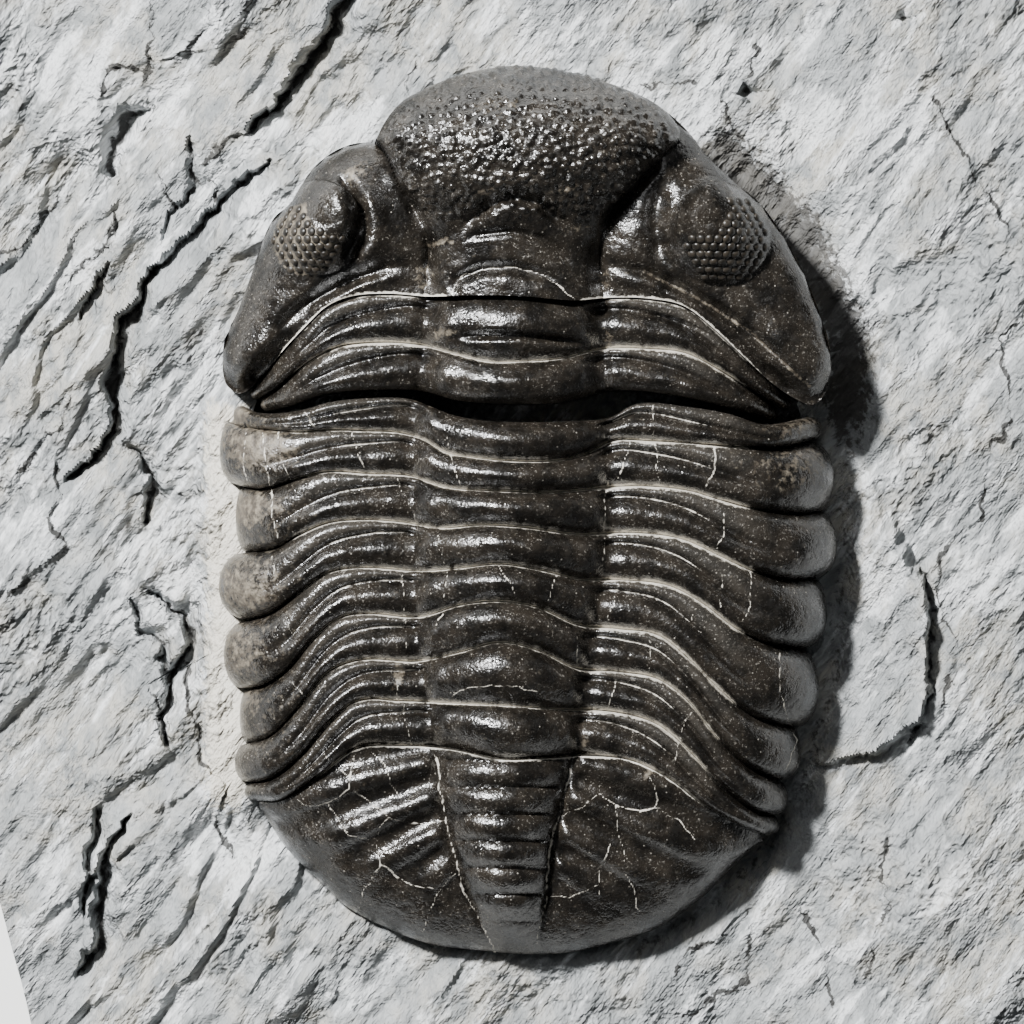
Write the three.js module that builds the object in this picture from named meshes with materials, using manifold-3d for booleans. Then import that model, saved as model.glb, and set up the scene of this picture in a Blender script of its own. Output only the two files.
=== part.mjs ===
// Fossil trilobite of the phacops kind, still fixed in its slab of grey limestone.
//
// Units are millimetres, +Z is up and +Y points to the head. The origin is on the flat underside of the
// slab, at the middle of its width and length. Places on the fossil are read on a square sheet ruled in
// fine steps of RULE millimetres, counted from its upper left corner; heights are in millimetres above
// the mean face of the rock.
import * as THREE from 'three';
import { mergeVertices } from 'three/addons/utils/BufferGeometryUtils.js';
import Module from 'manifold-3d';

const { clamp, lerp, smoothstep } = THREE.MathUtils;

// Driving dimensions, millimetres
const RULE = 0.06;
const SHEET_MIDDLE = 512;
const ROCK_FACE = 14;
const BED = 12;
const CLEARANCE = 0.3;
const SLAB_HALF_WIDTH = 34.5;
const SLAB_HALF_LENGTH = 37;
const TIP_HEIGHT = 0.7;
const FULCRUM = 0.4;
const LEFT_RIM_HEIGHT = 2.8;
const RIGHT_RIM_HEIGHT = 4.6;
const EYE_RISE = 2.3;
const HALF_GAP = CLEARANCE / 2 / RULE;
const ROOM_DEPTH = 20;

// How finely each surface is faceted
const HEAD_ROWS = 21;
const BAND_ROWS = [0, 0.2, 0.45, 0.62, 0.82, 1];
const BAND_OUTS = [1, 0.96, 0.85, 0.68, 0.42, 0.2, 0.03];
const BAND_RINGS = [-0.8, -0.45, 0, 0.45, 0.8];
const TAIL_COLUMNS = 22;
const TAIL_ROWS = [0, 0.06, 0.13, 0.2, 0.27, 0.34, 0.41, 0.48, 0.56, 0.65, 0.75, 0.86, 0.95, 1];
const SLAB_COLUMNS = 27;
const SLAB_ROWS = 29;
const GAP_COLUMNS = [270, 300, 330, 370, 420, 450, 480, 512, 560, 600, 636, 690, 730, 760];

// Joints between the bands, from the head's rear edge to the tail's front edge
const HEAD_REAR = [[221, 366], [223, 378], [230, 389], [240, 393], [265, 372], [285, 348], [305, 327],
  [325, 308], [350, 297], [390, 294], [430, 297], [475, 296], [520, 297], [575, 301], [610, 298], [650, 299],
  [685, 307], [715, 330], [745, 358], [775, 385], [800, 401], [812, 405], [820, 401], [826, 392], [830, 382],
  [832, 370]];
const JOINT_2 = [[255, 399], [275, 389], [305, 364], [335, 348], [370, 343], [420, 345], [455, 354],
  [490, 362], [520, 362], [565, 358], [602, 349], [650, 349], [685, 353], [720, 370], [755, 392], [790, 412]];
const GAP_FRONT = [[258, 412], [285, 408], [320, 396], [345, 392], [380, 390], [420, 391], [460, 401],
  [500, 404], [560, 403], [612, 391], [665, 394], [710, 403], [760, 417], [775, 423]];
const GAP_REAR = [[240, 404], [258, 412], [300, 410], [330, 402], [370, 398], [410, 399], [430, 406],
  [450, 414], [480, 420], [520, 422], [570, 421], [610, 417], [636, 404], [690, 407], [730, 414],
  [765, 424], [812, 416]];
const JOINT_4 = [[222, 420], [245, 427], [270, 430], [300, 432], [330, 430], [365, 431], [400, 433],
  [425, 440], [445, 452], [470, 457], [510, 461], [560, 460], [590, 452], [612, 441], [650, 441],
  [700, 444], [745, 447], [785, 448], [812, 441]];
const JOINT_5 = [[233, 485], [262, 489], [300, 478], [325, 472], [370, 474], [410, 476], [445, 487],
  [500, 491], [555, 492], [600, 488], [640, 486], [690, 491], [720, 500], [760, 510], [800, 514], [824, 512]];
const JOINT_6 = [[240, 553], [275, 549], [300, 535], [325, 524], [355, 520], [400, 522], [440, 528],
  [480, 525], [520, 527], [577, 534], [640, 533], [685, 540], [720, 556], [750, 570], [785, 580], [818, 579]];
const JOINT_7 = [[245, 621], [270, 614], [300, 592], [325, 574], [360, 568], [420, 571], [460, 568],
  [500, 564], [540, 570], [580, 579], [620, 580], [670, 586], [705, 605], [735, 628], [765, 643], [805, 650]];
const JOINT_8 = [[238, 690], [265, 685], [290, 667], [310, 642], [340, 618], [370, 614], [420, 617],
  [460, 605], [500, 601], [540, 608], [575, 624], [620, 629], [660, 636], [690, 660], [720, 690],
  [750, 715], [780, 725], [800, 729]];
const JOINT_9 = [[243, 745], [270, 737], [300, 706], [325, 675], [355, 661], [420, 661], [460, 652],
  [500, 642], [540, 651], [575, 668], [620, 672], [660, 680], [690, 703], [715, 735], [745, 765], [783, 783]];
const JOINT_10 = [[245, 784], [270, 780], [300, 757], [330, 722], [355, 702], [400, 701], [450, 703],
  [500, 705], [560, 709], [620, 713], [660, 726], [690, 752], [725, 790], [755, 812], [778, 818]];
const TAIL_FRONT = [[257, 803], [280, 802], [315, 779], [355, 750], [400, 746], [455, 750], [500, 759],
  [550, 758], [590, 756], [635, 762], [670, 780], [705, 807], [740, 827], [766, 838]];

// Outlines of the head's front and of the tail's rear
const HEAD_FRONT = [[221, 364], [222, 350], [228, 330], [237, 310], [248, 280], [262, 240], [270, 222],
  [292, 200], [302, 182], [312, 168], [325, 156], [345, 145], [365, 141], [376, 140], [382, 128], [390, 115],
  [405, 99], [422, 90], [460, 74], [500, 66], [520, 65], [560, 70], [600, 80], [640, 95], [665, 110],
  [690, 133], [706, 154], [735, 182], [762, 205], [785, 238], [805, 275], [822, 320], [831, 355], [832, 368]];
const TAIL_REAR = [[257, 808], [262, 815], [281, 845], [298, 864], [320, 885], [339, 904], [358, 917],
  [384, 930], [426, 946], [486, 954], [520, 957], [565, 956], [611, 946], [660, 930], [688, 912],
  [708, 896], [742, 862], [758, 848], [766, 843]];

// Each band: its two joints and, on each side, the front end, the tip and the rear end of its edge
const BANDS = [
  { front: HEAD_REAR, rear: JOINT_2, left: [254, 249, 256], right: [784, 792, 784] },
  { front: JOINT_2, rear: GAP_FRONT, left: [264, 259, 266], right: [774, 780, 770] },
  { front: GAP_REAR, rear: JOINT_4, left: [244, 232, 226], right: [812, 824, 812] },
  { front: JOINT_4, rear: JOINT_5, left: [226, 218, 236], right: [812, 836, 822] },
  { front: JOINT_5, rear: JOINT_6, left: [240, 234, 246], right: [822, 839, 818] },
  { front: JOINT_6, rear: JOINT_7, left: [240, 217, 246], right: [818, 829, 804] },
  { front: JOINT_7, rear: JOINT_8, left: [244, 222, 240], right: [804, 821, 798] },
  { front: JOINT_8, rear: JOINT_9, left: [246, 238, 245], right: [796, 803, 782] },
  { front: JOINT_9, rear: JOINT_10, left: [243, 233, 246], right: [782, 790, 776] },
  { front: JOINT_10, rear: TAIL_FRONT, left: [248, 243, 258], right: [776, 781, 765] },
];

// Long profiles, against the place down the sheet
const AXIS_LEFT = profile([[190, 436], [240, 428], [300, 424], [430, 415], [560, 415], [650, 420], [745, 436],
  [800, 442], [860, 456], [918, 478], [955, 495]]);
const AXIS_RIGHT = profile([[190, 594], [240, 600], [300, 604], [430, 606], [560, 604], [620, 591],
  [680, 584], [755, 572], [830, 555], [890, 547], [955, 537]]);
const SIDE_HEIGHT = profile([[190, 7.2], [300, 6.8], [420, 6.9], [560, 7], [680, 6.6], [760, 5.9], [860, 4.3],
  [957, 1.4]]);
const AXIS_RISE = profile([[190, 2.6], [300, 2.5], [560, 2.8], [760, 2.4], [860, 1.8], [930, 0.9],
  [957, 0.1]]);

// Relief across one band from its front edge to its rear edge: side lobe, axial ring and tip
const SIDE_RELIEF = profile([[0, -0.35], [0.2, 0], [0.34, -0.1], [0.45, -0.34], [0.62, 0.34], [0.8, 0.15],
  [1, -0.5]]);
const RING_RELIEF = profile([[0, -0.45], [0.2, 0.2], [0.45, 0.4], [0.75, 0.15], [1, -0.55]]);
const TIP_RELIEF = profile([[0, -0.4], [0.25, 0.15], [0.5, 0.3], [0.75, 0.15], [1, -0.4]]);

// Frontal lobe of the head, against the place down the sheet: middle line, half width, foot and rise
const LOBE_MIDDLE = profile([[65, 520], [110, 528], [150, 526], [190, 518], [240, 514], [300, 514]]);
const LOBE_HALF = profile([[64, 12], [70, 45], [74, 62], [81, 84], [91, 106], [99, 122], [115, 141],
  [128, 150], [140, 152], [150, 142], [165, 132], [185, 120], [212, 98], [240, 87], [300, 89]]);
const LOBE_FOOT = profile([[65, 4], [140, 5.2], [200, 6.3], [240, 6.7], [300, 6.7]]);
const LOBE_RISE = profile([[60, 0.1], [75, 2.2], [90, 3.9], [110, 5.1], [140, 5.9], [180, 4.9], [210, 3.5],
  [235, 2.5], [300, 2.4]]);
const LOBE_MARGIN = 20;

// Cheeks: width of their rounded shoulder, their crown beside the eyes, and the rest of the head's rim
const SHOULDER_WIDTH = 75;
const CHEEK_CROWN = 7.6;
const LEFT_RIM_END = 350;
const RIGHT_RIM_START = 680;
const CHEEK_REAR = [230, 330];

// Tail: its ends, the fall of its back, and its rings and ribs with their pitch and height
const TAIL_ENDS = [257, 766];
const TAIL_FALL = { start: 2.2, end: 0.6, axis: 8 };
const RIBS = { first: 752, pitch: 34, rise: 0.32, slant: 2.4, spread: 0.0035, fadeFrom: 0.45, fadeTo: 0.85 };
const RINGS = { first: 764, pitch: 27, rise: 0.3, fadeFrom: 860, fadeTo: 930 };

// Eyes: centre and radius of the flat lobe on top, and of the foot of the lens surface
const EYES = [
  { top: [326, 206], topRadius: 22, foot: [316, 227], footRadius: 46 },
  { top: [712, 208], topRadius: 24, foot: [717, 232], footRadius: 50 },
];

// Columns of the head's surface, where each starts at the front and ends at the rear
const HEAD_COLUMNS = [[223.5, 223.5], [229, 229], [240, 240], [256, 256], [273, 275], [290, 294], [305, 312],
  [318, 328], [330, 342], [340, 354], [349, 365], [358, 378], [366, 394], [374, 412], [381, 427], [392, 438],
  [415, 452], [450, 472], [490, 494], [525, 514], [560, 536], [600, 558], [638, 576], [664, 590], [684, 602],
  [696, 620], [703, 638], [711, 656], [719, 673], [728, 690], [739, 708], [751, 728], [765, 750], [781, 772],
  [797, 795], [812, 812], [823, 823], [830, 830]];

// Ridges and furrows that wander over the head: points, half width in steps, height in millimetres
const HEAD_STROKES = [
  { points: [[343, 190], [355, 208], [358, 228], [352, 248], [338, 268]], half: 9, rise: -1.1 },
  { points: [[366, 196], [376, 215], [381, 240], [366, 257], [345, 275]], half: 10, rise: 0.4 },
  { points: [[664, 195], [657, 215], [656, 240], [664, 265]], half: 9, rise: -1 },
  { points: [[285, 320], [320, 294], [350, 278], [385, 266], [425, 262]], half: 11, rise: -0.5 },
  { points: [[602, 262], [645, 271], [690, 293], [735, 321], [775, 354], [812, 388]], half: 11, rise: -0.6 },
  { points: [[452, 240], [470, 221], [486, 207], [510, 197], [540, 203], [560, 222], [578, 250]],
    half: 9, rise: -0.8 },
  { points: [[448, 297], [458, 280], [480, 270], [512, 268], [545, 276], [577, 298]], half: 8, rise: -0.6 },
];

// The rock: the lie of its splinters, long and short waves, silt caked on the left and a trench on the right
const GRAIN = { cos: 0.79, sin: 0.61 };
const LONG_WAVE = { height: 0.4, width: 41, bend: 90 };
const SHORT_WAVE = { height: 0.25, width: 17, bend: 70 };
const SILT = { middle: 228, half: 26, from: [360, 420], to: [790, 850], height: 0.9 };
const TRENCH = { half: 26, depth: 1.1, points: [[725, 150], [800, 225], [850, 330], [850, 430], [846, 560],
  [835, 690], [800, 800], [735, 895], [640, 950]] };
const EDGE_DROP = 0.6;

// Edges that stand above the ground on their right hand, and open cracks
const LEDGES = [
  { points: [[935, 97], [960, 140], [983, 178], [1024, 245], [1090, 300]], rise: 0.6, reach: 70 },
  { points: [[1000, 250], [1006, 340], [1012, 410], [990, 470], [985, 520], [950, 545], [942, 600],
    [957, 650], [950, 700]], rise: 0.5, reach: 60 },
  { points: [[900, 550], [922, 600], [932, 650], [925, 720], [872, 750]], rise: 1.1, reach: 55 },
];
const CRACKS = [
  { points: [[385, -60], [345, 0], [325, 40], [290, 80], [268, 108], [240, 132]], half: 9, depth: 2.6 },
  { points: [[268, 158], [225, 195], [190, 235], [145, 275], [128, 315], [110, 360], [110, 430], [70, 480]],
    half: 8, depth: 2.4 },
  { points: [[142, 95], [120, 125], [108, 150], [104, 180]], half: 13, depth: 1.6 },
  { points: [[108, 258], [92, 288], [74, 325]], half: 7, depth: 1.8 },
  { points: [[124, 444], [145, 465], [147, 500], [142, 522]], half: 6, depth: 1.6 },
  { points: [[186, 610], [190, 645], [165, 668], [168, 705], [160, 722], [170, 750]], half: 8, depth: 2 },
  { points: [[92, 808], [88, 850], [82, 915]], half: 6, depth: 1.8 },
  { points: [[128, 822], [108, 850], [97, 920], [76, 975]], half: 8, depth: 2.2 },
  { points: [[926, 570], [930, 640], [938, 700], [912, 742]], half: 6, depth: 1.6 },
];

// Slab edges: how far each side reaches, against the place along it from -1 to 1
const SLAB_LEFT = profile([[-1, 28.2], [-0.83, 29.3], [-0.67, 30.8], [-0.4, 33.3], [0.1, SLAB_HALF_WIDTH],
  [0.55, 33.7], [1, 32.8]]);
const SLAB_RIGHT = profile([[-1, 32.6], [-0.7, 33.8], [-0.2, 33.4], [0.3, SLAB_HALF_WIDTH], [1, 33]]);
const SLAB_TOP = profile([[-1, 35], [-0.5, 36.2], [0.1, SLAB_HALF_LENGTH], [0.6, 36], [1, 35.2]]);
const SLAB_BOTTOM = profile([[-1, 35.6], [-0.3, SLAB_HALF_LENGTH], [0.2, 36.1], [0.7, 36.6], [1, 35.2]]);
const TAIL_FRONT_CURVE = profile(TAIL_FRONT);

/** A smooth curve through hand-read points: gives the second value of a pair for any first value. */
function profile(points) {
  const firsts = points.map(([first]) => first);
  const seconds = points.map(([, second]) => second);
  const interpolant = new THREE.CubicInterpolant(firsts, seconds, 1, [0]);
  return (first) => interpolant.evaluate(first)[0];
}

/** A point in millimetres from its place on the sheet and its height above the rock's mean face. */
function place(x, y, height) {
  return [(x - SHEET_MIDDLE) * RULE, (SHEET_MIDDLE - y) * RULE, ROCK_FACE + height];
}

/** Distance from a place on the sheet to an open line, with a sign: positive on the line's left hand. */
function distanceTo(points, x, y) {
  let best = Infinity;
  let side = 1;
  for (let i = 0; i + 1 < points.length; i += 1) {
    const [ax, ay] = points[i];
    const dx = points[i + 1][0] - ax;
    const dy = points[i + 1][1] - ay;
    const along = clamp(((x - ax) * dx + (y - ay) * dy) / (dx * dx + dy * dy), 0, 1);
    const offX = x - ax - along * dx;
    const offY = y - ay - along * dy;
    const distance = Math.hypot(offX, offY);
    if (distance < best) {
      best = distance;
      side = Math.sign(offX * dy - offY * dx) || 1;
    }
  }
  return { distance: best, side };
}

/** Sum of the ridges and furrows that pass near a place. */
function strokeRelief(strokes, x, y) {
  return strokes.reduce((sum, { points, half, rise }) => {
    const { distance } = distanceTo(points, x, y);
    return sum + rise * Math.exp(-((distance / half) ** 2));
  }, 0);
}

/** Height of a place on the side lobes and axis of the body, before the relief of its bands. */
function bodyHeight(x, y, leftEnd, rightEnd) {
  const left = AXIS_LEFT(y);
  const right = AXIS_RIGHT(y);
  const across = (2 * x - left - right) / (right - left);
  const side = SIDE_HEIGHT(y);
  if (Math.abs(across) < 1) {
    return side + AXIS_RISE(y) * Math.sqrt(1 - across * across);
  }
  const out = across < 0 ? (left - x) / (left - leftEnd) : (x - right) / (rightEnd - right);
  const fall = clamp((out - FULCRUM) / (1 - FULCRUM), 0, 1);
  return TIP_HEIGHT + (side - TIP_HEIGHT) * Math.sqrt(1 - fall * fall);
}

/** Relief of one band: v runs from its front edge to its rear edge. */
function bandRelief(x, y, v, leftEnd, rightEnd) {
  const left = AXIS_LEFT(y);
  const right = AXIS_RIGHT(y);
  const across = Math.abs((2 * x - left - right) / (right - left));
  const out = x < (left + right) / 2 ? (left - x) / (left - leftEnd) : (x - right) / (rightEnd - right);
  const ring = 1 - smoothstep(across, 0.8, 1.08);
  const tip = smoothstep(out, 0.45, 0.8);
  const side = lerp(SIDE_RELIEF(v), TIP_RELIEF(v), tip);
  return lerp(side, RING_RELIEF(v), ring);
}

/** Height of the head: frontal lobe, cheeks, eyes and the rings behind the lobe. */
function headHeight(x, y) {
  const across = Math.abs(x - LOBE_MIDDLE(y)) / LOBE_HALF(y);
  const beyond = Math.abs(x - LOBE_MIDDLE(y)) - LOBE_HALF(y);
  const borders = [HEAD_FRONT, HEAD_REAR.slice(0, 4), HEAD_REAR.slice(-5)];
  const edge = Math.min(...borders.map((border) => distanceTo(border, x, y).distance));
  const shoulder = 1 - clamp(edge / SHOULDER_WIDTH, 0, 1);
  const rim = lerp(LEFT_RIM_HEIGHT, RIGHT_RIM_HEIGHT, smoothstep(x, LEFT_RIM_END, RIGHT_RIM_START));
  const crown = lerp(CHEEK_CROWN, SIDE_HEIGHT(y), smoothstep(y, ...CHEEK_REAR));
  const foot = LOBE_FOOT(y);
  let height = rim + (crown - rim) * Math.sqrt(1 - shoulder * shoulder);
  if (across < 1) {
    height = foot + LOBE_RISE(y) * Math.sqrt(1 - across * across);
  } else {
    height = lerp(height, Math.min(foot, height), Math.exp(-((beyond / LOBE_MARGIN) ** 2)));
  }
  return height + eyeRise(x, y) + strokeRelief(HEAD_STROKES, x, y);
}

/** How far an eye stands above the cheek at a place. */
function eyeRise(x, y) {
  return EYES.reduce((highest, { top, topRadius, foot, footRadius }) => {
    const fromTop = Math.max(0, Math.hypot(x - top[0], y - top[1]) - topRadius);
    const inFoot = Math.max(0, footRadius - Math.hypot(x - foot[0], y - foot[1]));
    return Math.max(highest, inFoot > 0 ? EYE_RISE * inFoot / (inFoot + fromTop) : 0);
  }, 0);
}

/** Height of the tail: the smooth body form, the axis rings and the ribs that fan back from it. */
function tailHeight(x, y, v) {
  const frontY = TAIL_FRONT_CURVE(x);
  const left = AXIS_LEFT(y);
  const right = AXIS_RIGHT(y);
  const across = Math.abs((2 * x - left - right) / (right - left));
  const front = bodyHeight(x, frontY, ...TAIL_ENDS) - axisPart(x, frontY);
  const base = TIP_HEIGHT + (front - TIP_HEIGHT) * (1 - v ** TAIL_FALL.start) ** TAIL_FALL.end;
  const out = Math.max(0, x < left ? left - x : x - right);
  const root = (y + RIBS.slant * out) / (1 + RIBS.spread * out);
  const ribFade = (1 - smoothstep(v, RIBS.fadeFrom, RIBS.fadeTo)) * smoothstep(out, 2, 14);
  const ribs = ribFade * waveOf(RIBS, root);
  const rings = across < 1 ? (1 - smoothstep(y, RINGS.fadeFrom, RINGS.fadeTo)) * waveOf(RINGS, y) : 0;
  return base + axisPart(x, y) * (1 - v ** TAIL_FALL.axis) + ribs + rings;
}

/** Height of an even row of ridges at a place along it. */
function waveOf({ first, pitch, rise }, along) {
  return rise * Math.sin((along - first) / pitch * 2 * Math.PI);
}

/** What the raised axis adds above the side lobes at a place. */
function axisPart(x, y) {
  const left = AXIS_LEFT(y);
  const right = AXIS_RIGHT(y);
  const across = (2 * x - left - right) / (right - left);
  return Math.abs(across) < 1 ? AXIS_RISE(y) * Math.sqrt(1 - across * across) : 0;
}

/** Height of the rock's upper face: long splinters, ledges, caked silt on the left, a trench on the right. */
function rockHeight(x, y) {
  const across = GRAIN.cos * x + GRAIN.sin * y;
  const along = GRAIN.cos * y - GRAIN.sin * x;
  const rough = 1 - 0.65 * smoothstep(x, 200, 700);
  const longWave = LONG_WAVE.height * Math.sin(across / LONG_WAVE.width + Math.sin(along / LONG_WAVE.bend));
  const shortWave = SHORT_WAVE.height * Math.sin(across / SHORT_WAVE.width + along / SHORT_WAVE.bend);
  let height = rough * (longWave + shortWave);
  for (const { points, rise, reach } of LEDGES) {
    const { distance, side } = distanceTo(points, x, y);
    height += side > 0 ? 0 : rise * Math.exp(-distance / reach);
  }
  const beside = smoothstep(y, ...SILT.from) * (1 - smoothstep(y, ...SILT.to));
  const silt = Math.exp(-(((x - SILT.middle) / SILT.half) ** 2)) * beside;
  const trench = Math.exp(-((distanceTo(TRENCH.points, x, y).distance / TRENCH.half) ** 2));
  return lerp(height, SILT.height, silt) - TRENCH.depth * trench;
}

/** A closed solid under a grid of points, rows of equal length: walls down to a flat underside. */
function blockUnder(rows, underside) {
  const count = rows.length;
  const width = rows[0].length;
  const vertices = rows.flat(2);
  const triangles = [];
  const at = (i, j) => i * width + j;
  for (let i = 0; i + 1 < count; i += 1) {
    for (let j = 0; j + 1 < width; j += 1) {
      triangles.push(at(i, j), at(i + 1, j), at(i + 1, j + 1), at(i, j), at(i + 1, j + 1), at(i, j + 1));
    }
  }
  const rim = [];
  for (let j = 0; j < width; j += 1) rim.push(at(0, j));
  for (let i = 1; i < count; i += 1) rim.push(at(i, width - 1));
  for (let j = width - 2; j >= 0; j -= 1) rim.push(at(count - 1, j));
  for (let i = count - 2; i > 0; i -= 1) rim.push(at(i, 0));
  const foot = vertices.length / 3;
  const outline = rim.map((index) => new THREE.Vector2(vertices[3 * index], vertices[3 * index + 1]));
  outline.forEach(({ x, y }) => vertices.push(x, y, underside));
  rim.forEach((index, k) => {
    const next = (k + 1) % rim.length;
    triangles.push(index, rim[next], foot + k, rim[next], foot + next, foot + k);
  });
  for (const [a, b, c] of THREE.ShapeUtils.triangulateShape(outline, [])) {
    triangles.push(foot + a, foot + c, foot + b);
  }
  const geometry = new THREE.BufferGeometry();
  geometry.setAttribute('position', new THREE.Float32BufferAttribute(vertices, 3));
  geometry.setIndex(triangles);
  return geometry;
}

/** Places across a band, from the left tip to the right tip, for one row of it. */
function acrossBand(y, leftEnd, rightEnd) {
  const left = AXIS_LEFT(y);
  const right = AXIS_RIGHT(y);
  return [
    ...BAND_OUTS.map((out) => lerp(left, leftEnd, out)),
    ...BAND_RINGS.map((ring) => (left + right) / 2 + ring * (right - left) / 2),
    ...BAND_OUTS.toReversed().map((out) => lerp(right, rightEnd, out)),
  ];
}

/** End of a band's row: the three readings joined by a rounded tip. */
function tipEnd([front, tip, rear], v) {
  const round = Math.sqrt(1 - (2 * v - 1) ** 2);
  return lerp(lerp(front, rear, v), tip, round);
}

/** The grid of points of one band of the body. */
function bandRows(band) {
  const front = profile(band.front);
  const rear = profile(band.rear);
  return BAND_ROWS.map((v) => {
    const leftEnd = tipEnd(band.left, v);
    const rightEnd = tipEnd(band.right, v);
    const rowY = lerp(front(420), rear(420), v);
    return acrossBand(rowY, leftEnd, rightEnd).map((x) => {
      const y = lerp(front(x) + gapAt(front, x), rear(x) - gapAt(rear, x), v);
      return place(x, y, bodyHeight(x, rowY, leftEnd, rightEnd) + bandRelief(x, rowY, v, leftEnd, rightEnd));
    });
  });
}

/** Half of the clearance at a joint, measured down the sheet: longer where the joint runs aslant. */
function gapAt(joint, x) {
  return HALF_GAP * Math.hypot(1, (joint(x + 4) - joint(x - 4)) / 8);
}

/** The grid of points of the head: its columns run back beside the furrows of the frontal lobe. */
function headRows() {
  const front = profile(HEAD_FRONT);
  const rear = profile(HEAD_REAR);
  return Array.from({ length: HEAD_ROWS }, (_, row) => HEAD_COLUMNS.map(([start, end]) => {
    const v = row / (HEAD_ROWS - 1);
    const x = lerp(start, end, Math.min(1, v / 0.62) ** 0.8);
    const y = lerp(front(x), rear(x) - gapAt(rear, x) * smoothstep(rear(x) - front(x), 20, 60), v);
    return place(x, y, headHeight(x, y));
  }));
}

/** The grid of points of the tail. */
function tailRows() {
  const rear = profile(TAIL_REAR);
  const [leftEnd, rightEnd] = [TAIL_ENDS[0] + 2, TAIL_ENDS[1] - 2];
  const xs = Array.from({ length: TAIL_COLUMNS + 1 }, (_, i) => {
    const turn = Math.PI * i / TAIL_COLUMNS;
    return lerp(leftEnd, rightEnd, (1 - Math.cos(turn)) / 2);
  });
  return TAIL_ROWS.map((v) => xs.map((x) => {
    const y = lerp(TAIL_FRONT_CURVE(x) + gapAt(TAIL_FRONT_CURVE, x), rear(x), v);
    return place(x, y, tailHeight(x, y, v));
  }));
}

/** The grid of points of the slab's upper face. */
function slabRows() {
  return Array.from({ length: SLAB_ROWS + 1 }, (_, row) => {
    const b = 1 - 2 * row / SLAB_ROWS;
    return Array.from({ length: SLAB_COLUMNS + 1 }, (__, column) => {
      const a = 2 * column / SLAB_COLUMNS - 1;
      return slabPoint(a, b);
    });
  });
}

/** A point of the slab's upper face: a and b run from -1 to 1, from its left and from its lower side. */
function slabPoint(a, b) {
  const x = a < 0 ? a * SLAB_LEFT(b) : a * SLAB_RIGHT(b);
  const y = b < 0 ? b * SLAB_BOTTOM(a) : b * SLAB_TOP(a);
  const atEdge = Math.abs(a) === 1 || Math.abs(b) === 1;
  const height = rockHeight(x / RULE + SHEET_MIDDLE, SHEET_MIDDLE - y / RULE);
  return [x, y, ROCK_FACE + height - (atEdge ? EDGE_DROP : 0)];
}

/** A wedge that opens one crack in the rock, pointed at both ends. */
function crackWedge({ points, half, depth }) {
  const above = 3;
  const rings = points.map(([x, y], i) => {
    const [px, py] = points[Math.max(0, i - 1)];
    const [nx, ny] = points[Math.min(points.length - 1, i + 1)];
    const length = Math.hypot(nx - px, ny - py);
    const taper = i === 0 || i === points.length - 1 ? 0.15 : 1;
    const reach = half * taper * (1 + above / depth);
    const offX = -(ny - py) / length * reach;
    const offY = (nx - px) / length * reach;
    return [place(x + offX, y + offY, above), place(x - offX, y - offY, above), place(x, y, -depth * taper)];
  });
  const vertices = rings.flat(2);
  const triangles = [0, 1, 2];
  for (let i = 0; i + 1 < rings.length; i += 1) {
    for (let k = 0; k < 3; k += 1) {
      const [a, b] = [3 * i + k, 3 * i + (k + 1) % 3];
      triangles.push(b, a, a + 3, b, a + 3, b + 3);
    }
  }
  const end = 3 * (rings.length - 1);
  triangles.push(end, end + 2, end + 1);
  const geometry = new THREE.BufferGeometry();
  geometry.setAttribute('position', new THREE.Float32BufferAttribute(vertices, 3));
  geometry.setIndex(triangles);
  return geometry;
}

/** Room for one piece of the fossil: its outline grown by the clearance, open upwards. */
function pocketFor(rows) {
  const last = rows.length - 1;
  const outline = [...rows[last], ...rows.slice(1, last).reverse().map((row) => row.at(-1)),
    ...rows[0].toReversed(), ...rows.slice(1, last).map((row) => row[0])];
  const grown = outline.map(([x, y], i) => {
    const [px, py] = outline.at(i - 1);
    const [nx, ny] = outline[(i + 1) % outline.length];
    const length = Math.hypot(nx - px, ny - py);
    return new THREE.Vector2(x + (ny - py) / length * CLEARANCE, y - (nx - px) / length * CLEARANCE);
  });
  const room = new THREE.Shape(grown);
  const geometry = new THREE.ExtrudeGeometry(room, { depth: ROOM_DEPTH, bevelEnabled: false });
  return geometry.translate(0, 0, BED - CLEARANCE);
}

/** The open gap behind the head's last band, as a grid of two rows. */
function gapRows() {
  return [GAP_FRONT, GAP_REAR].map((line) => {
    const curve = profile(line);
    return GAP_COLUMNS.map((x) => place(x, curve(x), 0));
  });
}

const wasm = await Module();
wasm.setup();

/** A solid for joining and cutting, from a closed mesh. */
function toSolid(geometry) {
  const bare = geometry.clone();
  bare.deleteAttribute('normal');
  bare.deleteAttribute('uv');
  const merged = mergeVertices(bare, 1e-4);
  return new wasm.Manifold(new wasm.Mesh({
    numProp: 3,
    vertProperties: new Float32Array(merged.attributes.position.array),
    triVerts: new Uint32Array(merged.index.array),
  }));
}

/** A mesh geometry from a solid. */
function fromSolid(solid) {
  const { vertProperties, triVerts } = solid.getMesh();
  const geometry = new THREE.BufferGeometry();
  geometry.setAttribute('position', new THREE.Float32BufferAttribute(vertProperties, 3));
  geometry.setIndex(Array.from(triVerts));
  return geometry;
}

const shellMaterial = new THREE.MeshStandardMaterial({ color: 0x211d19, roughness: 0.38, metalness: 0 });
const rockMaterial = new THREE.MeshStandardMaterial({ color: 0x9c9d9b, roughness: 0.88, metalness: 0 });
const model = new THREE.Group();

/** Names a geometry and adds it to the model. */
function addPiece(name, geometry, material) {
  geometry.computeVertexNormals();
  const mesh = new THREE.Mesh(geometry, material);
  mesh.name = name;
  model.add(mesh);
}

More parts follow.
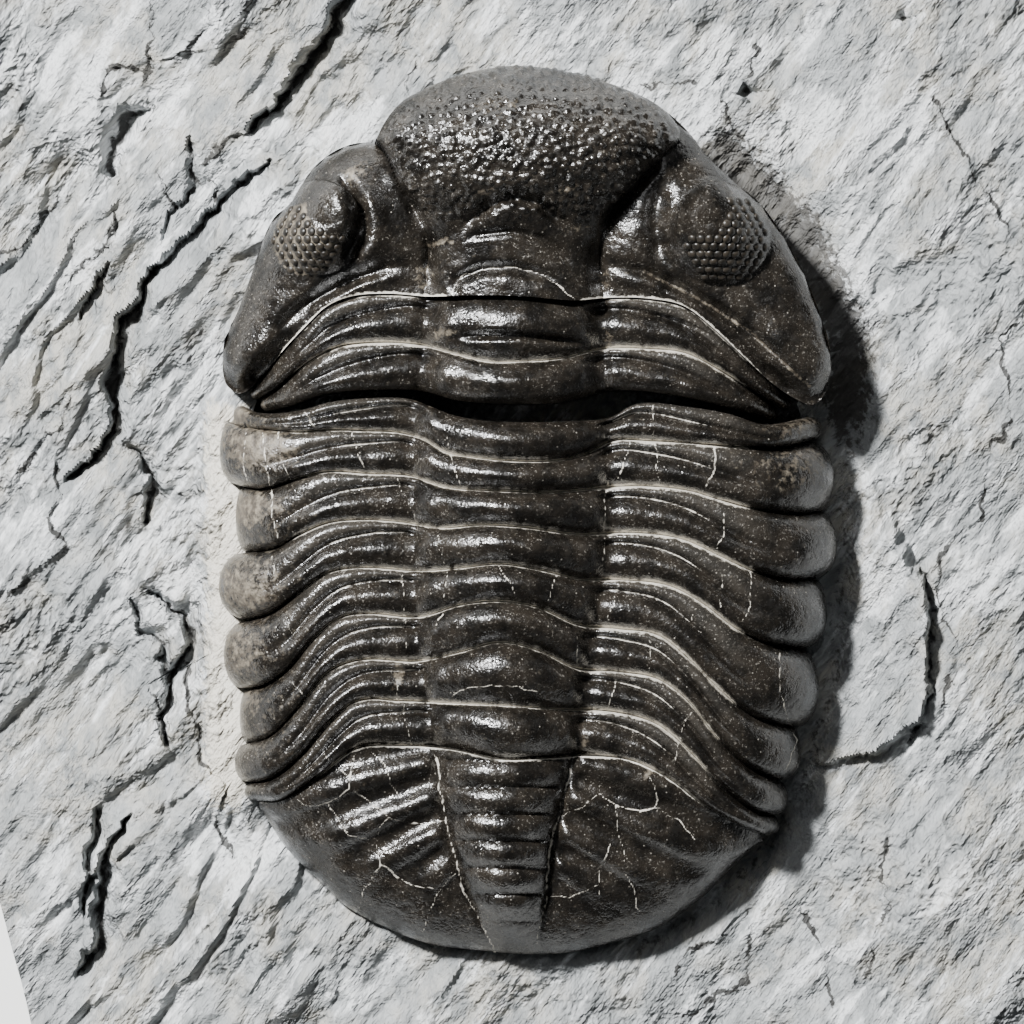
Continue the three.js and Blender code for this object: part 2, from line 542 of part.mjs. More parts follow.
const pieces = [
  ['cephalon', headRows()],
  ...BANDS.map((band, i) => [`thoracic_segment_${String(i + 1).padStart(2, '0')}`, bandRows(band)]),
  ['pygidium', tailRows()],
];
let rock = toSolid(blockUnder(slabRows(), 0));
for (const crack of CRACKS) {
  rock = rock.subtract(toSolid(crackWedge(crack)));
}
const rooms = [...pieces.map(([, rows]) => rows), gapRows()].map((rows) => toSolid(pocketFor(rows)));
rock = rock.subtract(wasm.Manifold.union(rooms));
addPiece('matrix', fromSolid(rock), rockMaterial);
for (const [name, rows] of pieces) {
  addPiece(name, blockUnder(rows, BED), shellMaterial);
}

export default model;
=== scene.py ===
"""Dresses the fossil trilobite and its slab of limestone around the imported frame.

Places on the fossil are read on a square sheet ruled in fine steps, counted from its upper left corner, as in
the part's own source. Heights are in millimetres above the mean face of the rock, and every mesh is placed in
metres in the frame of the part.
"""
import logging
import math
from collections.abc import Iterable, Sequence
from dataclasses import dataclass, field
from enum import Enum

import bpy
import numpy as np
from mathutils import Vector, noise
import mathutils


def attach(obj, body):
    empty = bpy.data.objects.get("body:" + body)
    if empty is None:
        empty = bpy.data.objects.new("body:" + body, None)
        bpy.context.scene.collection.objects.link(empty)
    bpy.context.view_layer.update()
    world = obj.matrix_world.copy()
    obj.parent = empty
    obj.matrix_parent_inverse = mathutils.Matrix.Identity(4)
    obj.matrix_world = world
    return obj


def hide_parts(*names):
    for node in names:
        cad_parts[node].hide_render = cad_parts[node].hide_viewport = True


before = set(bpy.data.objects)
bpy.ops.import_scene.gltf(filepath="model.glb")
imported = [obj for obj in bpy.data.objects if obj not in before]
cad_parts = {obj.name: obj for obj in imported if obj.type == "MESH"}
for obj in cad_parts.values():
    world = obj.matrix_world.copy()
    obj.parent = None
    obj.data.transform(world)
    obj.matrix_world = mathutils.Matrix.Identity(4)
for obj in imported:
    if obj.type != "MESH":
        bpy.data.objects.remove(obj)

LOG = logging.getLogger("trilobite")

# Driving dimensions: a millimetre in metres and a step of the sheet in millimetres
MILLIMETRE = 0.001
RULE = 0.06
SHEET_MIDDLE = 512.0
# Heights in millimetres: the rock's mean face and the fossil's bed stand above the underside, the others
# above the face
ROCK_FACE = 14.0
BED = 12.0
CLEARANCE = 0.3
TIP_HEIGHT = 0.7
LEFT_RIM_HEIGHT = 2.8
RIGHT_RIM_HEIGHT = 4.6
EYE_RISE = 2.3
EYE_CAP_RISE = 0.3
RIPPLE_RISE = 0.07
# Where the side lobes begin to fall, as a part of the way from the axis to the tip
FULCRUM = 0.4
# Half the gap between two pieces of the fossil, in steps
JOINT_GAP = 0.2
# Value of a line where nothing is to be drawn, and distance of the rock's cracks where none is near
NO_LINE = 90
FAR = 40.0
# How far apart rows of staggered pebbles or lenses lie, as a part of their pitch
ROW_SPACING = 0.87

Points = Sequence[tuple[float, float]]

# Joints between the bands, from the head's rear edge to the tail's front edge
HEAD_REAR = ((221, 366), (223, 378), (230, 389), (240, 393), (265, 372), (285, 348), (305, 327), (325, 308),
             (350, 297), (390, 294), (430, 297), (475, 296), (520, 297), (575, 301), (610, 298), (650, 299),
             (685, 307), (715, 330), (745, 358), (775, 385), (800, 401), (812, 405), (820, 401), (826, 392),
             (830, 382), (832, 370))
JOINT_2 = ((255, 399), (275, 389), (305, 364), (335, 348), (370, 343), (420, 345), (455, 354), (490, 362),
           (520, 362), (565, 358), (602, 349), (650, 349), (685, 353), (720, 370), (755, 392), (790, 412))
GAP_FRONT = ((258, 412), (285, 408), (320, 396), (345, 392), (380, 390), (420, 391), (460, 401), (500, 404),
             (560, 403), (612, 391), (665, 394), (710, 403), (760, 417), (775, 423))
GAP_REAR = ((240, 404), (258, 412), (300, 410), (330, 402), (370, 398), (410, 399), (430, 406), (450, 414),
            (480, 420), (520, 422), (570, 421), (610, 417), (636, 404), (690, 407), (730, 414), (765, 424),
            (812, 416))
JOINT_4 = ((222, 420), (245, 427), (270, 430), (300, 432), (330, 430), (365, 431), (400, 433), (425, 440),
           (445, 452), (470, 457), (510, 461), (560, 460), (590, 452), (612, 441), (650, 441), (700, 444),
           (745, 447), (785, 448), (812, 441))
JOINT_5 = ((233, 485), (262, 489), (300, 478), (325, 472), (370, 474), (410, 476), (445, 487), (500, 491),
           (555, 492), (600, 488), (640, 486), (690, 491), (720, 500), (760, 510), (800, 514), (824, 512))
JOINT_6 = ((240, 553), (275, 549), (300, 535), (325, 524), (355, 520), (400, 522), (440, 528), (480, 525),
           (520, 527), (577, 534), (640, 533), (685, 540), (720, 556), (750, 570), (785, 580), (818, 579))
JOINT_7 = ((245, 621), (270, 614), (300, 592), (325, 574), (360, 568), (420, 571), (460, 568), (500, 564),
           (540, 570), (580, 579), (620, 580), (670, 586), (705, 605), (735, 628), (765, 643), (805, 650))
JOINT_8 = ((238, 690), (265, 685), (290, 667), (310, 642), (340, 618), (370, 614), (420, 617), (460, 605),
           (500, 601), (540, 608), (575, 624), (620, 629), (660, 636), (690, 660), (720, 690), (750, 715),
           (780, 725), (800, 729))
JOINT_9 = ((243, 745), (270, 737), (300, 706), (325, 675), (355, 661), (420, 661), (460, 652), (500, 642),
           (540, 651), (575, 668), (620, 672), (660, 680), (690, 703), (715, 735), (745, 765), (783, 783))
JOINT_10 = ((245, 784), (270, 780), (300, 757), (330, 722), (355, 702), (400, 701), (450, 703), (500, 705),
            (560, 709), (620, 713), (660, 726), (690, 752), (725, 790), (755, 812), (778, 818))
TAIL_FRONT = ((257, 803), (280, 802), (315, 779), (355, 750), (400, 746), (455, 750), (500, 759), (550, 758),
              (590, 756), (635, 762), (670, 780), (705, 807), (740, 827), (766, 838))

# Outlines of the head's front and of the tail's rear
HEAD_FRONT = ((221, 364), (222, 350), (228, 330), (237, 310), (248, 280), (262, 240), (270, 222), (292, 200),
              (302, 182), (312, 168), (325, 156), (345, 145), (365, 141), (376, 140), (382, 128), (390, 115),
              (405, 99), (422, 90), (460, 74), (500, 66), (520, 65), (560, 70), (600, 80), (640, 95),
              (665, 110), (690, 133), (706, 154), (735, 182), (762, 205), (785, 238), (805, 275),
              (822, 320), (831, 355), (832, 368))
TAIL_REAR = ((257, 808), (262, 815), (281, 845), (298, 864), (320, 885), (339, 904), (358, 917), (384, 930),
             (426, 946), (486, 954), (520, 957), (565, 956), (611, 946), (660, 930), (688, 912), (708, 896),
             (742, 862), (758, 848), (766, 843))

# Ridges and furrows of the head: points, half width in steps, height in millimetres
HEAD_STROKES = (
    (((337, 172), (349, 190), (356, 208), (358, 226), (354, 242), (345, 258), (332, 272)), 7, -1.15),
    (((355, 178), (367, 195), (374, 213), (377, 231), (373, 247), (362, 262), (346, 277)), 12, 0.5),
    (((668, 172), (660, 190), (656, 210), (656, 232), (660, 253), (669, 276)), 9, -0.6),
    (((696, 176), (684, 193), (677, 210), (674, 230), (678, 253), (688, 280)), 10, 0.3),
    (((429, 228), (431, 262), (433, 305)), 6, -0.7),
    (((590, 235), (596, 268), (598, 305)), 8, -0.8),
    (((262, 345), (285, 322), (320, 296), (350, 279), (385, 267), (440, 262)), 8, -0.7),
    (((280, 335), (305, 311), (335, 298), (365, 284), (410, 275)), 5, 0.25),
    (((590, 262), (645, 271), (690, 293), (735, 321), (775, 354), (822, 396)), 6, -0.75),
    (((600, 278), (650, 285), (690, 302), (730, 330), (780, 372)), 6, 0.25),
    (((452, 240), (470, 221), (486, 207), (510, 197), (540, 203), (560, 222), (578, 250)), 7, -0.9),
    (((460, 244), (475, 236), (510, 232), (545, 240), (565, 258), (574, 276)), 4, -0.35),
    (((448, 297), (458, 280), (480, 270), (512, 268), (545, 276), (577, 298)), 6, -0.7),
    (((387, 150), (393, 166), (401, 186), (415, 212), (428, 240)), 5, -0.5),
    (((665, 150), (650, 174), (630, 192), (608, 218), (598, 240)), 5, -0.5),
)
# Furrows across the first band of the body
FIRST_BAND_STROKES = (
    (((448, 338), (480, 336), (520, 336), (560, 340), (602, 345)), 4, -0.7),
    (((310, 335), (340, 321), (375, 312), (420, 304)), 2.4, -0.2),
    (((630, 313), (670, 319), (697, 328), (725, 345)), 2.4, -0.2),
)


class Finish(Enum):
    """Which finish a mesh is dressed in."""

    SHELL = "shell"
    LENS = "lens"
    ROCK = "rock"


@dataclass(frozen=True)
class Profile:
    """A smooth curve through given points: the second value of a pair for any first value."""

    points: Points

    def __call__(self, first: np.ndarray | float) -> np.ndarray:
        """Reads the curve.

        Args:
            first: the values to read it at; outside the points the end values hold.

        Returns:
            The second values.
        """
        firsts, seconds = np.array(self.points, dtype=float).T
        spans = np.diff(firsts)
        rises = np.diff(seconds) / spans
        slopes = np.concatenate(([rises[0]], (rises[:-1] + rises[1:]) / 2, [rises[-1]]))
        at = np.clip(first, firsts[0], firsts[-1])
        cell = np.clip(np.searchsorted(firsts, at, side="right") - 1, 0, len(spans) - 1)
        t = (at - firsts[cell]) / spans[cell]
        start = (2 * t ** 3 - 3 * t ** 2 + 1) * seconds[cell]
        start_slope = (t ** 3 - 2 * t ** 2 + t) * spans[cell] * slopes[cell]
        end = (3 * t ** 2 - 2 * t ** 3) * seconds[cell + 1]
        end_slope = (t ** 3 - t ** 2) * spans[cell] * slopes[cell + 1]
        return start + start_slope + end + end_slope


# Long profiles, against the place down the sheet
AXIS_LEFT = Profile(((190, 436), (240, 428), (300, 424), (430, 415), (560, 415), (650, 420), (745, 436),
                     (800, 442), (860, 456), (918, 478), (955, 495)))
AXIS_RIGHT = Profile(((190, 594), (240, 600), (300, 604), (430, 606), (560, 604), (620, 591), (680, 584),
                      (755, 572), (830, 555), (890, 547), (955, 537)))
SIDE_HEIGHT = Profile(((190, 7.2), (300, 6.8), (420, 6.9), (560, 7), (680, 6.6), (760, 5.9), (860, 4.3),
                       (957, 1.4)))
AXIS_RISE = Profile(((190, 2.4), (300, 2.1), (560, 2.2), (760, 2.1), (860, 1.8), (930, 0.9), (957, 0.1)))

# Relief across one band from its front edge to its rear edge: side lobe, axial ring and tip
SIDE_RELIEF = Profile(((0, -0.5), (0.04, -0.25), (0.12, -0.02), (0.22, 0.02), (0.33, -0.1), (0.42, -0.34),
                       (0.47, -0.34), (0.54, -0.02), (0.64, 0.3), (0.75, 0.36), (0.87, 0.12), (0.95, -0.2),
                       (1, -0.6)))
RING_RELIEF = Profile(((0, -0.7), (0.06, -0.3), (0.2, 0.2), (0.45, 0.42), (0.7, 0.26), (0.88, -0.1),
                       (1, -0.7)))
TIP_RELIEF = Profile(((0, -0.6), (0.06, -0.2), (0.25, 0.2), (0.5, 0.32), (0.75, 0.2), (0.94, -0.2),
                      (1, -0.6)))

# Frontal lobe of the head, against the place down the sheet: middle line, half width, foot and rise
LOBE_MIDDLE = Profile(((65, 520), (110, 528), (150, 526), (190, 518), (240, 514), (300, 514)))
LOBE_HALF = Profile(((64, 12), (70, 45), (74, 62), (81, 84), (91, 106), (99, 122), (115, 141), (128, 150),
                     (140, 152), (150, 142), (165, 132), (185, 120), (212, 98), (240, 87), (300, 89)))
LOBE_FOOT = Profile(((65, 4), (100, 5.6), (140, 7.0), (200, 7.3), (240, 7.0), (300, 6.7)))
LOBE_RISE = Profile(((60, 0.1), (75, 2.2), (90, 3.5), (110, 4.1), (140, 4.2), (180, 3.8), (210, 2.9),
                     (235, 2.3), (300, 2.4)))


@dataclass(frozen=True)
class Eye:
    """One eye: its flat lobe on top, the foot of its lens surface and the patch of lenses below its lid."""

    name: str
    top: tuple[float, float]
    top_radius: float
    foot: tuple[float, float]
    foot_radius: float
    patch: tuple[float, float]
    patch_half: tuple[float, float]
    lid: tuple[float, float]
    lid_half: tuple[float, float]
    pitch: float
    fill: float

    def rise(self, x: np.ndarray, y: np.ndarray) -> np.ndarray:
        """How far the eye stands above the cheek at each place, in millimetres."""
        off_top = np.hypot(x - self.top[0], y - self.top[1])
        from_top = np.maximum(0, off_top - self.top_radius)
        in_foot = np.maximum(0, self.foot_radius - np.hypot(x - self.foot[0], y - self.foot[1]))
        up = np.sin(in_foot / np.maximum(in_foot + from_top, 1e-6) * math.pi / 2)
        return EYE_RISE * up + EYE_CAP_RISE * np.clip(1 - (off_top / self.top_radius) ** 2, 0, 1)

    def patch_at(self, x: np.ndarray, y: np.ndarray) -> np.ndarray:
        """1 inside the patch of lenses, falling to 0 outside it."""
        away = np.hypot((x - self.patch[0]) / self.patch_half[0], (y - self.patch[1]) / self.patch_half[1])
        under_lid = np.hypot((x - self.lid[0]) / self.lid_half[0], (y - self.lid[1]) / self.lid_half[1])
        return smoothstep(away, 1.08, 0.94) * smoothstep(under_lid, 0.92, 1.06)


EYES = (
    Eye("left_eye_lenses", top=(330, 200), top_radius=25, foot=(316, 228), foot_radius=48, patch=(308, 240),
        patch_half=(35, 36), lid=(340, 202), lid_half=(34, 36), pitch=8.6, fill=0.53),
    Eye("right_eye_lenses", top=(706, 200), top_radius=25, foot=(719, 234), foot_radius=52, patch=(726, 240),
        patch_half=(42, 44), lid=(699, 202), lid_half=(31, 38), pitch=8.6, fill=0.54),
)


@dataclass(frozen=True)
class Band:
    """One band of the body: its two joints and, at each end, the front, tip and rear of its edge."""

    front: Points
    rear: Points
    left: tuple[float, float, float]
    right: tuple[float, float, float]


BANDS = (
    Band(HEAD_REAR, JOINT_2, (254, 249, 256), (784, 792, 784)),
    Band(JOINT_2, GAP_FRONT, (264, 259, 266), (774, 780, 770)),
    Band(GAP_REAR, JOINT_4, (244, 232, 226), (812, 824, 812)),
    Band(JOINT_4, JOINT_5, (226, 218, 236), (812, 836, 822)),
    Band(JOINT_5, JOINT_6, (240, 234, 246), (822, 839, 818)),
    Band(JOINT_6, JOINT_7, (240, 217, 246), (818, 829, 804)),
    Band(JOINT_7, JOINT_8, (244, 222, 240), (804, 821, 798)),
    Band(JOINT_8, JOINT_9, (246, 238, 245), (796, 803, 782)),
    Band(JOINT_9, JOINT_10, (243, 233, 246), (782, 790, 776)),
    Band(JOINT_10, TAIL_FRONT, (248, 243, 258), (776, 781, 765)),
)

# The head overhangs the rear edge of this band, behind which the body has a wide gap
GAP_BAND = 2

# Thin calcite veins that cross the shell
VEINS = (
    ((297, 800), (305, 806), (320, 806), (340, 797), (350, 789), (349, 778), (355, 755)),
    ((350, 789), (365, 797), (380, 810), (390, 819)),
    ((327, 804), (342, 825), (348, 835), (375, 842), (380, 828), (388, 819), (400, 821), (420, 825),
     (447, 820)),
    ((375, 842), (380, 865), (370, 880), (362, 895), (358, 914)),
    ((380, 865), (400, 878), (407, 885), (435, 890)),
    ((455, 873), (438, 894), (430, 910), (423, 935)),
    ((390, 782), (402, 800)),
    ((370, 750), (385, 765), (390, 780)),
    ((315, 738), (325, 755), (350, 778)),
    ((597, 774), (600, 794), (580, 808), (558, 818)),
    ((600, 794), (618, 806), (640, 812), (655, 808), (657, 800), (650, 775)),
    ((616, 806), (617, 833), (625, 855), (623, 870), (635, 892), (636, 908), (643, 918)),
    ((657, 808), (678, 820), (695, 840)),
    ((610, 845), (600, 870), (600, 895)),
    ((550, 897), (570, 898), (597, 885)),
    ((446, 415), (448, 450)),
    ((450, 455), (455, 470), (460, 485)),
    ((397, 475), (402, 490), (413, 510), (415, 520)),
    ((439, 532), (438, 545), (447, 568)),
    ((448, 572), (443, 600)),
    ((497, 565), (508, 580), (517, 598)),
    ((557, 575), (547, 605)),
    ((402, 575), (405, 620), (408, 655)),
    ((444, 613), (435, 625)),
    ((398, 684), (397, 700), (403, 700), (405, 720), (412, 745)),
    ((305, 412), (315, 428)),
    ((352, 432), (357, 450), (365, 470)),
    ((653, 405), (653, 438)),
    ((655, 442), (657, 470), (660, 480)),
    ((632, 442), (625, 460), (618, 480)),
    ((608, 480), (605, 515), (603, 560)),
    ((722, 512), (725, 530), (715, 553)),
    ((750, 570), (750, 605), (740, 627)),
    ((722, 575), (720, 607)),
    ((620, 585), (607, 618)),
    ((697, 605), (692, 620)),
    ((677, 630), (673, 640)),
    ((650, 640), (650, 670)),
    ((578, 630), (576, 662)),
    ((617, 680), (608, 707)),
    ((590, 715), (585, 728)),
    ((692, 710), (680, 735), (676, 760), (668, 779)),
    ((780, 655), (780, 690), (790, 725), (797, 740), (787, 770)),
    ((287, 620), (300, 650)),
    ((290, 680), (303, 695)),
    ((450, 296), (455, 285), (465, 275), (480, 271), (500, 268), (515, 268), (530, 271), (545, 277),
     (555, 283), (565, 292), (575, 299)),
    ((450, 697), (460, 689), (475, 686), (500, 685), (520, 687), (535, 691), (545, 697), (560, 706)),
    ((245, 432), (243, 460), (247, 484)), ((263, 430), (264, 455), (270, 486)),
    ((278, 432), (280, 455), (290, 480)), ((272, 490), (272, 515), (278, 538)),
    ((272, 556), (276, 580), (285, 600)),
)
# Wider pale lines, such as the axis edges of the tail
WIDE_VEINS = (
    ((435, 755), (440, 775), (440, 790), (445, 810), (448, 825), (452, 845), (456, 860), (458, 875),
     (462, 890), (478, 918), (492, 945), (495, 955)),
    ((571, 757), (570, 775), (565, 790), (560, 805), (558, 820), (553, 835), (550, 850), (548, 870),
     (547, 890), (545, 905), (541, 920), (537, 945)),
    ((712, 445), (716, 458), (713, 475), (700, 492)),
)
# Half widths of the thin and the wide veins, in steps
VEIN_HALF = 0.48
WIDE_VEIN_HALF = 0.75
# Tan lines of silt in narrow furrows
TAN_LINES = (
    ((645, 272), (660, 280), (690, 294), (720, 312), (750, 332), (775, 355), (800, 378), (810, 386)),
)
# Patches of tan silt that cling to the shell: place, half sizes and strength; the patch at (497, 108) on the
# frontal lobe is a painted glint
DUST = (
    (237, 412, 14, 14, 1.1), (255, 445, 40, 20, 0.7), (250, 508, 26, 14, 0.8), (242, 590, 30, 30, 0.6),
    (236, 650, 22, 24, 0.5), (233, 575, 6, 5, 1.0), (800, 425, 34, 22, 0.45), (790, 470, 50, 26, 0.35),
    (248, 700, 14, 22, 0.3), (397, 676, 5, 10, 0.9), (581, 741, 6, 12, 0.7), (650, 772, 6, 8, 0.8),
    (355, 172, 12, 9, 0.7),
    (565, 190, 12, 4, 0.9), (490, 193, 16, 4, 0.8), (425, 275, 10, 14, 0.6), (444, 247, 15, 5, 0.7),
    (578, 229, 18, 5, 0.5), (605, 283, 7, 14, 0.4), (445, 331, 12, 8, 0.7), (608, 338, 6, 9, 0.6),
    # The last patch on the next line is a painted glint, not silt
    (440, 400, 30, 6, 0.5), (250, 400, 16, 8, 0.6), (497, 108, 20, 14, 0.35),
)

# Open cracks of the rock: points, half width in steps, depth in millimetres
OPEN_CRACKS = (
    (((385, -60), (345, 0), (335, 12), (325, 40), (305, 60), (290, 80), (270, 105), (250, 125)), 11, 2.4),
    (((265, 158), (245, 175), (225, 195), (205, 215), (190, 235), (170, 255), (150, 270)), 5, 1.2),
    (((150, 270), (140, 290), (130, 310), (118, 335), (110, 360), (110, 390), (112, 430), (100, 450),
      (85, 465), (65, 480)), 7, 2.2),
    (((140, 105), (125, 115), (110, 135), (105, 165), (115, 175)), 11, 1.2),
    (((105, 260), (95, 280), (85, 300), (75, 320)), 5, 1.3),
    (((182, 133), (190, 165), (195, 180), (185, 200), (170, 212), (160, 235)), 4, 0.8),
    (((125, 445), (140, 458), (148, 475), (147, 500), (143, 520)), 5, 1.1),
    (((145, 590), (170, 610), (184, 620), (190, 640), (182, 660), (168, 676), (166, 710), (160, 722),
      (168, 748)), 6, 1.6),
    (((128, 600), (140, 630), (160, 645), (155, 660), (168, 690)), 4, 1.0),
    (((92, 810), (88, 850), (85, 890), (80, 915)), 5, 1.4),
    (((128, 820), (110, 845), (100, 880), (95, 920), (100, 950), (85, 965), (75, 975)), 6, 1.6),
    (((922, 575), (932, 600), (935, 640), (937, 690), (912, 745)), 3.5, 0.7),
    (((745, 88), (746, 93)), 7, 1.0),
    (((905, 11), (906, 15)), 7, 1.0),
)
# Fine cracks of the rock
FINE_CRACKS = (
    ((250, 0), (243, 20), (228, 38), (222, 50)), ((205, 0), (208, 20), (195, 30), (190, 45)),
    ((245, 130), (225, 138), (210, 155), (190, 165)), ((200, 50), (175, 55), (150, 65), (140, 75)),
    ((130, 60), (110, 65), (100, 80), (98, 92)), ((150, 0), (148, 40), (140, 75)),
    ((60, 200), (40, 215), (20, 240), (0, 250)), ((115, 215), (105, 240), (85, 255), (65, 280)),
    ((155, 175), (165, 195), (172, 210)), ((207, 170), (212, 195)),
    ((70, 400), (55, 425), (40, 440), (15, 475)),
    ((55, 468), (52, 485), (60, 500), (48, 515), (52, 530), (66, 550), (45, 560), (25, 580), (8, 595)),
    ((150, 690), (158, 720), (168, 748)),
    ((185, 670), (190, 710), (200, 765), (215, 775), (222, 800), (215, 830), (228, 858)),
    ((935, 97), (945, 115), (960, 140), (975, 160), (983, 178), (1000, 205), (1015, 235), (1040, 260)),
    ((1040, 300), (1024, 318), (1008, 335), (1006, 370), (1012, 400), (1014, 415), (1005, 438), (995, 440),
     (990, 470), (985, 520), (960, 530), (950, 545), (940, 575), (942, 605), (955, 635), (958, 660),
     (950, 690), (945, 712)),
    ((738, 20), (740, 45), (722, 75), (728, 100), (732, 140)), ((760, 45), (755, 70), (748, 78)),
    ((620, 87), (660, 82), (700, 80)), ((415, 60), (405, 80), (412, 95)),
    ((755, 930), (748, 960), (750, 980), (730, 990), (715, 1000), (690, 1018)),
    ((750, 915), (725, 940), (690, 955), (680, 975)),
    ((800, 905), (820, 930), (825, 960), (835, 1010)), ((885, 840), (890, 900), (880, 940), (868, 980)),
)
# Ledges of the rock: points, rise in millimetres and how far behind the edge the rise dies out, in steps
LEDGES = (
    (((935, 97), (960, 140), (983, 178), (1024, 245), (1090, 300)), 0.3, 70),
    (((893, 500), (898, 520), (903, 540), (912, 567), (926, 591), (930, 630), (932, 665), (925, 720),
      (895, 745), (872, 752)), 1.2, 45),
)
# Pale patches of the rock: place and half sizes; they are partly powdery white rock and partly painted light
# on slopes that face the key light, such as the ledge's bulge at (880, 620)
PALE = ((650, 105, 110, 36), (790, 140, 60, 50), (855, 300, 26, 80), (270, 245, 34, 60), (880, 620, 22, 70),
        (205, 350, 26, 60), (720, 50, 90, 30), (330, 130, 50, 30), (60, 90, 60, 70), (150, 560, 50, 40),
        (230, 860, 30, 40), (880, 130, 50, 30))
# The trench that the preparer left along the fossil's right side; the rock in it is also painted with shadow,
# mixed with dark shell debris
TRENCH = ((725, 150), (800, 225), (850, 330), (850, 430), (846, 560), (835, 690), (800, 800), (735, 895),
          (640, 950))

# Slab edges in millimetres, against the place along each side from -1 to 1
SLAB_LEFT = Profile(((-1, 28.2), (-0.83, 29.3), (-0.67, 30.8), (-0.4, 33.3), (0.1, 34.5), (0.55, 33.7),
                     (1, 32.8)))
SLAB_RIGHT = Profile(((-1, 32.6), (-0.7, 33.8), (-0.2, 33.4), (0.3, 34.5), (1, 33)))
SLAB_TOP = Profile(((-1, 35), (-0.5, 36.2), (0.1, 37), (0.6, 36), (1, 35.2)))
SLAB_BOTTOM = Profile(((-1, 35.6), (-0.3, 37), (0.2, 36.1), (0.7, 36.6), (1, 35.2)))


def smoothstep(value: np.ndarray, low: float, high: float) -> np.ndarray:
    """A smooth step from 0 at low to 1 at high."""
    t = np.clip((value - low) / (high - low), 0, 1)
    return t * t * (3 - 2 * t)


def bell(off: np.ndarray, half: np.ndarray | float, other_off: np.ndarray | float = 0,
         other_half: float = 1) -> np.ndarray:
    """A smooth bump: 1 where both offsets are 0, fading over their half widths."""
    return np.exp(-(off / half) ** 2 - (other_off / other_half) ** 2)


def lerp(start: np.ndarray | float, end: np.ndarray | float, part: np.ndarray | float) -> np.ndarray:
    """The value that lies the given part of the way from start to end."""
    return start + (end - start) * part


def distance_to(points: Points, x: np.ndarray, y: np.ndarray) -> tuple[np.ndarray, np.ndarray, np.ndarray]:
    """Distance of each place to an open line.

    Args:
        points: the line's points on the sheet.
        x: places across the sheet.
        y: places down the sheet.

    Returns:
        The distance, the side as 1 on the line's left hand and -1 on its right, and how far along the line
        the nearest point is, from 0 to 1.
    """
    best = np.full(np.shape(x), np.inf)
    side = np.ones(np.shape(x))
    part = np.zeros(np.shape(x))
    count = len(points) - 1
    for number, ((ax, ay), (bx, by)) in enumerate(zip(points, points[1:])):
        dx, dy = bx - ax, by - ay
        along = np.clip(((x - ax) * dx + (y - ay) * dy) / (dx * dx + dy * dy), 0, 1)
        off_x = x - ax - along * dx
        off_y = y - ay - along * dy
        distance = np.hypot(off_x, off_y)
        nearer = distance < best
        best = np.where(nearer, distance, best)
        side = np.where(nearer, np.where(off_x * dy - off_y * dx < 0, -1.0, 1.0), side)
        part = np.where(nearer, (number + along) / count, part)
    return best, side, part


def nearest(lines: Iterable[Points], x: np.ndarray, y: np.ndarray, reach: float = 12) -> np.ndarray:
    """Distance to the nearest of several lines, no more than reach.

    Args:
        lines: the lines, each a row of points on the sheet.
        x: places across the sheet.
        y: places down the sheet.
        reach: the greatest distance of interest.

    Returns:
        The distance at each place.
    """
    best = np.full(np.shape(x), float(reach))
    for line in lines:
        xs, ys = np.array(line, dtype=float).T
        near = (x > xs.min() - reach) & (x < xs.max() + reach)
        near &= (y > ys.min() - reach) & (y < ys.max() + reach)
        if near.any():
            best[near] = np.minimum(best[near], distance_to(line, x[near], y[near])[0])
    return best


def strokes(lines: Iterable[tuple[Points, float, float]], x: np.ndarray, y: np.ndarray) -> np.ndarray:
    """Sum of the ridges and furrows near each place, in millimetres; each fades towards its two ends."""
    total = np.zeros(np.shape(x))
    for points, half, rise in lines:
        distance, _, part = distance_to(points, x, y)
        taper = smoothstep(part, 0, 0.3) * smoothstep(1 - part, 0, 0.3)
        total += rise * taper * bell(distance, half)
    return total


def grain(x: np.ndarray, y: np.ndarray, size: float, seed: float, octaves: int = 4) -> np.ndarray:
    """Fractal noise between about -1 and 1.

    Args:
        x: places across the sheet.
        y: places down the sheet.
        size: the size of the coarsest lumps, in steps.
        seed: which slice of the noise to take.
        octaves: how many finer layers are added.

    Returns:
        The noise at each place.
    """
    flat = np.column_stack((np.ravel(x) / size, np.ravel(y) / size))
    values = [noise.fractal(Vector((a, b, seed)), 0.9, 2.1, octaves) for a, b in flat.tolist()]
    return np.array(values).reshape(np.shape(x))


def wander(x: np.ndarray, y: np.ndarray, amount: float, size: float,
           seed: float = 8.1) -> tuple[np.ndarray, np.ndarray]:
    """Places moved a little to and fro, so that what is drawn through them wanders.

    Args:
        x: places across the sheet.
        y: places down the sheet.
        amount: how far they move at most, in steps.
        size: the length of a bend, in steps.
        seed: which slice of the noise to take.

    Returns:
        The moved places.
    """
    return x + amount * grain(x, y, size, seed, 3), y + amount * grain(x, y, size, seed + 3.7, 3)


def silt_at(x: np.ndarray, y: np.ndarray) -> np.ndarray:
    """How thickly silt clings to the shell at each place, from 0 to 1; this also carries a painted sheen on
    the outer left side lobes, which face the key light, and a painted glint on the frontal lobe.
    """
    moved_x, moved_y = wander(x, y, 9, 26, 21.3)
    total = np.zeros(np.shape(x))
    for px, py, half_x, half_y, strength in DUST:
        away = ((moved_x - px) / half_x) ** 2 + ((moved_y - py) / half_y) ** 2
        total = np.maximum(total, strength * np.exp(-away ** 1.5))
    # Silt film and painted sheen: the outer left side lobes, which face the key light, are made lighter
    film_and_sheen = 0.24 * smoothstep(x, 345, 250) * smoothstep(y, 395, 430) * smoothstep(y, 790, 740)
    return np.maximum(total, 0.6 * smoothstep(nearest(TAN_LINES, x, y), 2.6, 0.8)) + film_and_sheen


